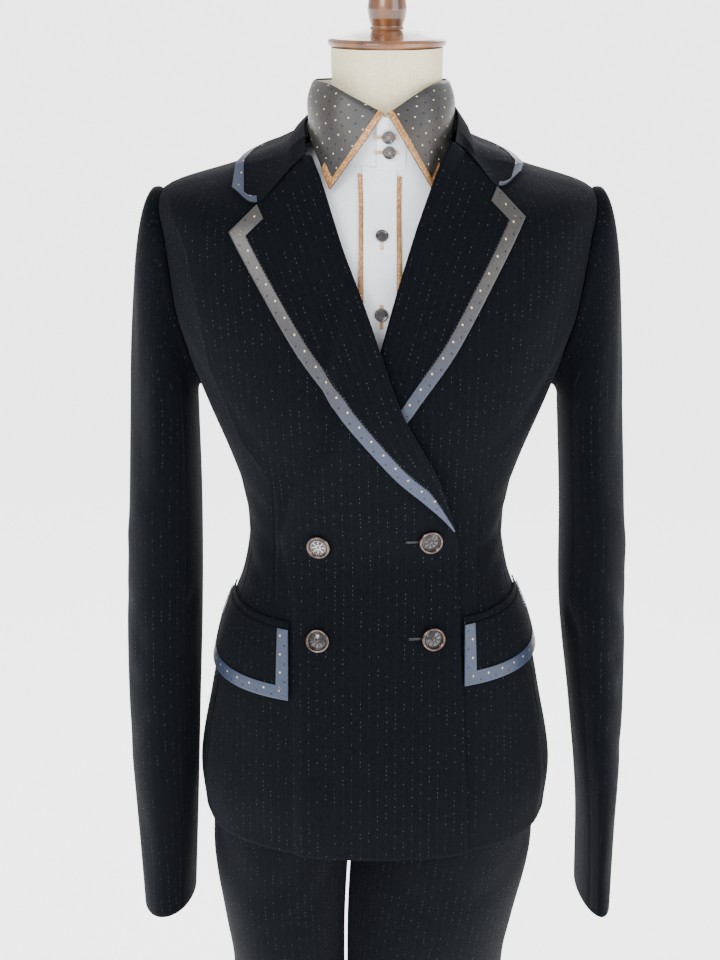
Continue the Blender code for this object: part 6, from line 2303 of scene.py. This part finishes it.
    def collar(self) -> None:
        """Make the collar, its piping and its stand."""
        wardrobe = self.wardrobe
        stations = np.concatenate(([0.0, 0.01], np.linspace(0, self.piping_end, 6)[1:],
                                   np.linspace(self.piping_end, self.tip_end, 12)[1:],
                                   np.linspace(self.tip_end, 4.0, 54)[1:]))
        points = self.round_neck(self.collar_line, stations)
        normals = grid_normals(points, (NECK_X, 0.0, 1.40))
        along, across = run_length(points, 0), run_length(points, 1)
        cut = np.stack((along - along[len(stations) - 1], across), axis=-1)
        end, tip = nearest(stations, self.piping_end), nearest(stations, self.tip_end)
        low = FINE / 2 + SEAM
        tapes = []
        for side in Side:
            keep = no_cells(points)
            mine = keep if side is Side.RIGHT else keep[::-1]
            mine[:end] = True
            mine[end:tip, self.leaf_steps - 1:] = True
            tapes.append(self.cloth(f"{side.word}_collar_tape", Panel(points, normals, cut, keep), low,
                                    low + BAND, wardrobe.tape, "piping",
                                    (f"shirt_collar_{side.word}_piping",), Hold.LAID, ()))
        self.cloth("shirt_collar_leaf", Panel(points, normals, cut), -FINE / 2, FINE / 2, wardrobe.lattice,
                   "collar_satin", ("shirt_collar",), Hold.FOLDED, ("shirt_standing_band",), tuple(tapes))
        stand = self.round_neck(self.stand_line, stations[::2])
        panel = Panel.laid(stand, grid_normals(stand, (NECK_X, 0.0, 1.44)), upright=False)
        self.cloth("shirt_standing_band", panel, -FINE / 2, FINE / 2, wardrobe.shirting, "shirting",
                   ("shirt_collar_stand",), Hold.FOLDED)
        self.overlap()


# ---- repeated pieces, by geometry nodes -----------------------------------------------------------
class Repeater(NodeTree):
    """A geometry node tree that lays small rounded pieces along a line of points."""

    INPUTS = (("Line", "Geometry"), ("Spacing", "Float"), ("Size", "Vector"), ("Material", "Material"),
              ("Unevenness", "Float"))
    SEGMENTS = 8
    RINGS = 6
    SEED = 7

    def __init__(self) -> None:
        """Build the tree, with its inputs named."""
        self.tree = bpy.data.node_groups.new("repeat_along", "GeometryNodeTree")
        face = self.tree.interface
        for name, kind in self.INPUTS:
            face.new_socket(name, in_out="INPUT", socket_type=f"NodeSocket{kind}")
        face.new_socket("Pieces", in_out="OUTPUT", socket_type="NodeSocketGeometry")
        given, result = self.node("NodeGroupInput"), self.node("NodeGroupOutput")
        ball = self.node("GeometryNodeMeshUVSphere")
        chance = self.node("FunctionNodeRandomValue", data_type="FLOAT")
        low = self.node("ShaderNodeMath", operation="SUBTRACT")
        high = self.node("ShaderNodeMath", operation="ADD")
        for node, socket, value in ((ball, "Segments", self.SEGMENTS), (ball, "Rings", self.RINGS),
                                    (ball, "Radius", 1.0), (chance, "Seed", self.SEED), (low, 0, 1.0),
                                    (high, 0, 1.0)):
            node.inputs[socket].default_value = value
        curve = self.node("GeometryNodeMeshToCurve")
        spaced = self.node("GeometryNodeResampleCurve", mode="LENGTH")
        smooth = self.node("GeometryNodeSetShadeSmooth")
        tangent = self.node("GeometryNodeInputTangent")
        turn = self.node("FunctionNodeAlignRotationToVector", axis="X")
        scale = self.node("ShaderNodeVectorMath", operation="SCALE")
        laid = self.node("GeometryNodeInstanceOnPoints")
        solid = self.node("GeometryNodeRealizeInstances")
        dress = self.node("GeometryNodeSetMaterial")
        for source, result_of, target, goes_to in (
                (given, "Line", curve, 0), (curve, 0, spaced, "Curve"), (given, "Spacing", spaced, "Length"),
                (spaced, 0, laid, "Points"), (ball, "Mesh", smooth, "Geometry"),
                (smooth, 0, laid, "Instance"), (tangent, 0, turn, "Vector"), (turn, 0, laid, "Rotation"),
                (given, "Unevenness", low, 1), (given, "Unevenness", high, 1), (low, 0, chance, 2),
                (high, 0, chance, 3), (given, "Size", scale, 0), (chance, 1, scale, "Scale"),
                (scale, 0, laid, "Scale"), (laid, 0, solid, 0), (solid, 0, dress, "Geometry"),
                (given, "Material", dress, "Material"), (dress, 0, result, "Pieces")):
            self.feed(target.inputs[goes_to], source.outputs[result_of])

    def lay(self, name: str, lines: list[Grid], spacing: float, size: tuple[float, float, float],
            material: Material, unevenness: float = 0.08) -> Piece:
        """Lay pieces along lines.

        Args:
            name: the new piece's name.
            lines: arrays of points.
            spacing: the distance between two pieces.
            size: half the length, width and height of one.
            material: their material.
            unevenness: how much their sizes differ.

        Returns:
            One mesh object of all of them.
        """
        verts, edges = [], []
        for line in lines:
            first = len(verts)
            verts += np.asarray(line, dtype=float).tolist()
            edges += [(k, k + 1) for k in range(first, len(verts) - 1)]
        mesh = bpy.data.meshes.new(f"{name}_line")
        mesh.from_pydata(verts, edges, [])
        guide = linked(f"{name}_guide", mesh)
        modifier = guide.modifiers.new("repeat", "NODES")
        modifier.node_group = self.tree
        values = {"Spacing": spacing, "Size": size, "Material": material, "Unevenness": unevenness}
        for item in self.tree.interface.items_tree:
            if item.in_out == "INPUT" and item.name in values:
                modifier[item.identifier] = values[item.name]
        bpy.context.view_layer.update()
        graph = bpy.context.evaluated_depsgraph_get()
        made = bpy.data.meshes.new_from_object(guide.evaluated_get(graph), depsgraph=graph)
        guide.modifiers.clear()
        bpy.data.objects.remove(guide, do_unlink=True)
        if not made.polygons:
            raise RuntimeError(f"{name}: nothing was laid")
        if not made.materials:
            made.materials.append(material)
        made.name = name
        return linked(name, made)


def ring_line(seat: Grid, across: Grid, up: Grid, radius: float, count: int) -> Grid:
    """A closed ring of points in a plane."""
    angle = np.linspace(0, 2 * math.pi, count + 1)
    return seat + radius * (np.cos(angle)[:, None] * across + np.sin(angle)[:, None] * up)


# ---- buttons and sewing ----------------------------------------------------------------------------
@dataclass
class Buttons(Maker):
    """Shank buttons with a rosette on the jacket, and four-hole buttons on the shirt."""

    repeater: Repeater
    jacket_places: tuple = (("upper_right", -0.0487, 1.0862), ("upper_left", 0.0450, 1.0920),
                            ("lower_right", -0.0508, 0.9980), ("lower_left", 0.0493, 0.9998))
    jacket_radius: float = 0.0108
    shank: float = 0.0006
    beads: int = 26
    bead_ring: float = 0.60
    petals: int = 8
    shirt_radius: float = 0.0055
    shirt_gap: float = 0.0005
    shirt_places: tuple = ((0.0044, 1.4337), (0.0052, 1.4209), (0.0038, 1.3510), (0.0033, 1.2900))
    stand_foot: float = 1.405
    tilts: tuple = ((3.0, -2.0), (-2.0, 3.0), (1.0, 4.0), (-3.0, -1.0))
    rim: tuple = ((0.0, 0.0), (0.30, 0.0), (0.30, 0.14), (0.90, 0.16), (1.0, 0.26), (0.985, 0.34),
                  (0.92, 0.42), (0.86, 0.43), (0.79, 0.40), (0.74, 0.32), (0.71, 0.275), (0.70, 0.2705),
                  (0.0, 0.2705))
    well: tuple = ((0.0, 0.272), (0.695, 0.272), (0.69, 0.278), (0.0, 0.279))
    disc: tuple = ((0.0, 0.0), (0.80, 0.0), (1.0, 0.12), (1.0, 0.30), (0.93, 0.37), (0.86, 0.38),
                   (0.74, 0.345), (0.66, 0.28), (0.62, 0.265), (0.0, 0.255))
    heart: tuple = ((0.0, 0.27), (0.13, 0.28), (0.12, 0.33), (0.07, 0.36), (0.0, 0.37))
    # a thin black disc on the button's face: painted shade in place of one open hole
    hole: tuple = ((0.0, 0.0), (0.115, 0.0), (0.115, 0.006), (0.0, 0.007))
    hole_spread: float = 0.21
    hole_height: float = 0.262
    thread_rise: float = 0.0003
    thread_step: float = 0.0005
    thread: tuple[float, float, float] = (0.0005, 0.00018, 0.00018)
    tan_sewn: int = 2                # this many from the top are sewn in tan
    turn_step: float = 0.21          # each jacket button is turned by this much more

    @staticmethod
    def frame_of(normal: Grid) -> tuple[Grid, Grid, Grid]:
        """Across, up and out of a seat."""
        out = unit(np.asarray(normal))
        across = unit(np.cross((0.0, 0.0, 1.0), out))
        return across, np.cross(out, across), out

    def placed(self, name: str, profile: Grid, radius: float, seat: Grid, normal: Grid,
               sides: int) -> Piece:
        """A turned piece of a button, set on its seat."""
        piece = turned(name, np.asarray(profile) * radius, sides=sides)
        axes = Matrix(self.frame_of(normal)).transposed().to_4x4()
        piece.data.transform(Matrix.Translation(Vector(seat)) @ axes)
        return piece

    def tilted(self, normal: Grid, tilt: tuple[float, float]) -> Grid:
        """A direction leant by degrees across and up."""
        across, up, out = self.frame_of(normal)
        lean, nod = np.tan(np.radians(tilt))
        return unit(out + across * lean + up * nod)

    def jacket_button(self, word: str, x: float, z: float, tilt: tuple[float, float], spin: float,
                      figure: Material) -> None:
        """One shank button: a polished rim, a dark well, and a rosette inside a ring of beads.

        Args:
            word: its place in its name.
            x: its X.
            z: its Z.
            tilt: degrees that it leans across and up.
            spin: its turn about its own axis.
            figure: the material of its rosette and beads.
        """
        seat, normal = CUT.on_over_front(np.array(x), np.array(z), self.shank)
        wardrobe, radius, name = self.wardrobe, self.jacket_radius, f"shank_{word}"
        facing = self.tilted(normal, tilt)
        across, up, out = self.frame_of(facing)
        across, up = (across * math.cos(spin) + up * math.sin(spin),
                      up * math.cos(spin) - across * math.sin(spin))
        rim = self.placed(name, smooth_rim(self.rim), radius, seat, facing, 72)
        self.dresser.dress(rim, [wardrobe.rim], "button_metal", (f"jacket_{word}_button",))
        well = self.placed(f"{name}_well", self.well, radius, seat, facing, 48)
        self.dresser.dress(well, [wardrobe.enamel], "button_metal")
        level = seat + out * radius * 0.285
        circle = radius * self.bead_ring
        ring = self.repeater.lay(f"{name}_beads", [ring_line(level, across, up, circle, 40)],
                                 circle * 2 * math.pi / self.beads, (radius * 0.045,) * 3, figure, 0.0)
        self.dresser.dress(ring, [], "button_metal")
        petals = []
        for k in range(self.petals):
            angle = 2 * math.pi * k / self.petals
            way = across * math.cos(angle) + up * math.sin(angle)
            petals.append(np.array((level + way * radius * 0.20, level + way * radius * 0.44)))
        rosette = self.repeater.lay(f"{name}_petals", petals, radius * 0.5,
                                    (radius * 0.150, radius * 0.060, radius * 0.055), figure, 0.0)
        self.dresser.dress(rosette, [], "button_metal")
        heart = self.placed(f"{name}_heart", self.heart, radius, seat, facing, 32)
        self.dresser.dress(heart, [wardrobe.rim], "button_metal")

    def shirt_seat(self, shirt: Shirt, x: float, z: float) -> tuple[Grid, Grid]:
        """A shirt button's seat and direction.

        Args:
            shirt: the shirt that it is sewn to.
            x: its X.
            z: its Z.

        Returns:
            The seat and its direction.
        """
        turn, row = FORM.locate(Side.LEFT, np.array(x), np.array(min(z, self.stand_foot)))
        normal = FORM.normal(Side.LEFT, turn, row)
        lift = shirt.lift(row) + shirt.placket_lift + FINE / 2 + self.shirt_gap
        seat = FORM.point(Side.LEFT, turn, row) + normal * lift
        if z > self.stand_foot:
            line = shirt.stand_line(Side.LEFT, 0.0)
            foot, head = line[0], line[-1]
            seat = foot + (head - foot) * (z - foot[2]) / (head[2] - foot[2])
            normal = unit(np.cross((1.0, 0.0, 0.0), head - foot))
            seat = seat + normal * (FINE / 2 + self.shirt_gap + shirt.lap_lift)
        return seat, normal

    def shirt_button(self, shirt: Shirt, number: int, x: float, z: float) -> None:
        """One flat button, its four holes black discs of painted shade, and its sewing.

        Args:
            shirt: the shirt that it is sewn to.
            number: its number from the top, from 1.
            x: its X.
            z: its Z.
        """
        seat, normal = self.shirt_seat(shirt, x, z)
        wardrobe, radius, name = self.wardrobe, self.shirt_radius, f"small_button_{number}"
        facing = self.tilted(normal, self.tilts[number - 1])
        across, up, out = self.frame_of(facing)
        disc = self.placed(name, smooth_rim(self.disc), radius, seat, facing, 48)
        self.dresser.dress(disc, [wardrobe.smoke], "button_smoke", (f"shirt_button_{number}",))
        # the four holes are thin black discs on the face, painted shade in place of open holes
        spread = radius * self.hole_spread
        corners = [seat + out * radius * self.hole_height + across * a * spread + up * b * spread
                   for a in (-1, 1) for b in (-1, 1)]
        holes = [self.placed(f"{name}_hole_{k}", self.hole, radius, corner, facing, 16)
                 for k, corner in enumerate(corners)]
        self.dresser.dress(joined(f"{name}_holes", holes), [wardrobe.enamel], "button_smoke")
        rise = out * self.thread_rise
        sewing = [np.array((corners[a], (corners[a] + corners[b]) / 2 + rise, corners[b]))
                  for a, b in ((0, 3), (1, 2))]
        thread = self.repeater.lay(f"{name}_thread", sewing, self.thread_step, self.thread,
                                   wardrobe.tan if number <= self.tan_sewn else wardrobe.black, 0.05)
        self.dresser.dress(thread, [])

    def build(self, shirt: Shirt) -> None:
        """Make all eight buttons."""
        for k, (word, x, z) in enumerate(self.jacket_places):
            # the first button's rosette and beads get the bright metal as a painted highlight; the rest get
            # the dark relief
            figure = self.wardrobe.pewter if k == 0 else self.wardrobe.relief
            self.jacket_button(word, x, z, self.tilts[k], self.turn_step * k, figure)
        for k, (x, z) in enumerate(self.shirt_places):
            self.shirt_button(shirt, k + 1, x, z)


def smooth_rim(profile: Grid) -> Grid:
    """A button's profile with its corners eased."""
    return rounded_profile(profile, 2, 0.03)


@dataclass
class Sewing(Maker):
    """Buttonholes and rows of stitches."""

    repeater: Repeater
    step: float = 0.0030
    stitch: tuple[float, float, float] = (0.00105, 0.00024, 0.00020)
    slits: tuple = (((0.0250, 1.0922), (0.0345, 1.0919)), ((0.0285, 1.0008), (0.0385, 1.0006)))
    slit_half: float = 0.00055
    slit_lift: float = 0.0003
    slit_step: float = 0.00042
    slit_cord: tuple[float, float, float] = (0.00034, 0.00050, 0.00042)
    bar_step: float = 0.00040
    bar: tuple[float, float, float] = (0.00034, 0.00052, 0.00040)
    bar_rows: tuple[float, ...] = (-0.0012, -0.0004, 0.0004, 0.0012)
    bar_sink: float = 0.0003
    level_holes: int = 2                                   # the stand's holes lie level
    one_sided: int = 2                                     # this hole shows below its button only
    level_reach: tuple[float, float] = (1.05, 2.25)        # in radii of the button
    level_back: tuple[float, float] = (0.90, 1.35)
    upright_reach: tuple[float, float] = (0.95, 2.1)
    upright_back: tuple[float, float] = (0.90, 1.50)
    row_ends: tuple[int, int] = (8, -6)                    # the lapel rows that have stitches
    row_inset: float = 0.0006
    row_lift: float = 0.0002
    row_soft: float = 0.9
    left_low_z: float = 1.24

    def buttonholes(self) -> None:
        """The corded buttonholes beside the left-hand jacket buttons."""
        lines = []
        for start, end in self.slits:
            across, height = np.linspace(start, end, 16).T
            for off in (-self.slit_half, self.slit_half):
                lines.append(CUT.on_over_front(across, height + off, self.slit_lift)[0])
        holes = self.repeater.lay("jacket_buttonholes", lines, self.slit_step, self.slit_cord,
                                  self.wardrobe.black)
        self.dresser.dress(holes, [])

    def shirt_holes(self, shirt: Shirt, buttons: Buttons) -> None:
        """The tan bar-tacked buttonholes of the shirt.

        Args:
            shirt: the shirt.
            buttons: the buttons that close it.
        """
        lines = []
        for k, (x, z) in enumerate(buttons.shirt_places):
            seat, normal = buttons.shirt_seat(shirt, x, z)
            across, up, out = buttons.frame_of(normal)
            level = k < self.level_holes
            way, off = (-across, up) if level else (-up, across)
            reach = self.level_reach if level else self.upright_reach
            back = self.level_back if level else self.upright_back
            long = np.linspace(*reach, 12)[:, None] * buttons.shirt_radius
            short = np.linspace(*back, 6)[:, None] * buttons.shirt_radius
            for step in self.bar_rows:
                lines.append(seat - out * self.bar_sink + way * long + off * step)
                if k != self.one_sided:
                    lines.append(seat - out * self.bar_sink - way * short + off * step)
        holes = self.repeater.lay("shirt_buttonholes", lines, self.bar_step, self.bar, self.wardrobe.tan)
        self.dresser.dress(holes, [])

    def lapel_rows(self, lapels: Lapels) -> None:
        """Stitches along the inner edge of each lapel's band.

        Args:
            lapels: the lapels.
        """
        for side in Side:
            start, end, width = (part[slice(*self.row_ends)] for part in lapels.layout(side)[:3])
            place = width - lapels.band(width) - self.row_inset
            soft = np.exp(-(place / lapels.roll_reach) ** 2)
            lift = (lapels.edge_height + LEAF / 2 + self.row_lift
                    + lapels.roll_height * soft * self.row_soft)
            line = lapels.over(side, start, end, place, lift)[0]
            if side is Side.LEFT:
                line = line[line[:, 2] > self.left_low_z]
            row = self.repeater.lay(f"{side.word}_lapel_stitches", [line], self.step, self.stitch,
                                    self.wardrobe.black)
            self.dresser.dress(row, [])

    def build(self, lapels: Lapels, shirt: Shirt, buttons: Buttons) -> None:
        """Make every row."""
        self.buttonholes()
        self.shirt_holes(shirt, buttons)
        self.lapel_rows(lapels)


# ---- the stage -------------------------------------------------------------------------------------
@dataclass
class Stage:
    """Pale floor, soft light and the camera of the photo."""

    place: tuple[float, float, float] = (-0.0146, -1.5, 1.60)
    pitch: float = 72.0
    lens: float = 63.75
    film: float = 36.0
    ground: Colour = (0.93, 0.93, 0.935)
    glow: float = 2.4
    sky: float = 1.2
    reach: float = 400.0
    lamps: tuple = (
        # name, place, height it faces, size in metres, power in watts
        ("key", (-1.3, -2.2, 2.6), 1.15, 1.2, 70.0),
        ("fill", (1.9, -1.6, 1.7), 1.10, 1.6, 36.0),
        ("back", (0.3, 2.2, 2.4), 1.20, 1.6, 40.0),
    )

    def light(self, name: str, place: tuple, aim_z: float, size: float, power: float) -> None:
        """A soft square lamp that faces a point above the origin.

        Args:
            name: its name.
            place: where it stands.
            aim_z: the height that it faces.
            size: its side in metres.
            power: its power in watts.
        """
        data = bpy.data.lights.new(name, "AREA")
        data.shape = "SQUARE"
        data.size = size
        data.energy = power
        lamp = linked(name, data)
        lamp.location = place
        heading = Vector((0.0, 0.0, aim_z)) - Vector(place)
        lamp.rotation_euler = heading.to_track_quat("-Z", "Y").to_euler()

    def build(self) -> None:
        """Set the floor, world, lamps and camera."""
        scene = bpy.context.scene
        reach, low = self.reach, -0.0005
        floor = new_object("studio_floor", [(-reach, -reach, low), (reach, -reach, low),
                                            (reach, reach, low), (-reach, reach, low)], [(0, 1, 2, 3)])
        shade = Shade("pale_floor", self.ground, 0.9)
        shade.set("Specular IOR Level", 0.1)
        shade.set("Emission Color", (1.0, 1.0, 1.0, 1.0))
        shade.set("Emission Strength", self.glow)
        floor.data.materials.append(shade.material)
        world = bpy.data.worlds.new("studio")
        world.use_nodes = True
        background = world.node_tree.nodes["Background"]
        background.inputs["Color"].default_value = (1.0, 1.0, 1.0, 1.0)
        background.inputs["Strength"].default_value = self.sky
        scene.world = world
        for name, place, aim_z, size, power in self.lamps:
            self.light(name, place, aim_z, size, power)
        data = bpy.data.cameras.new("photo_camera")
        data.sensor_fit = "VERTICAL"
        data.sensor_height = self.film
        data.lens = self.lens
        data.clip_start = 0.02
        camera = linked("photo_camera", data)
        camera.location = self.place
        camera.rotation_euler = (math.radians(self.pitch), 0.0, 0.0)
        scene.camera = camera


def main() -> None:
    """Build and dress every piece, then the stage."""
    logging.basicConfig(level=logging.INFO, format="%(name)s: %(message)s")
    dresser = Dresser()
    DressForm(dresser).build()
    Trousers(dresser).build()
    shirt = Shirt(dresser)
    shirt.build()
    JacketBody(dresser).build()
    Sleeves(dresser).build()
    Pockets(dresser).build()
    lapels = Lapels(dresser)
    lapels.build()
    JacketCollar(dresser).build(lapels)
    repeater = Repeater()
    buttons = Buttons(dresser, repeater)
    buttons.build(shirt)
    Sewing(dresser, repeater).build(lapels, shirt, buttons)
    Stage().build()
    log.info("%d pieces", dresser.count)


if __name__ == "__main__":
    main()
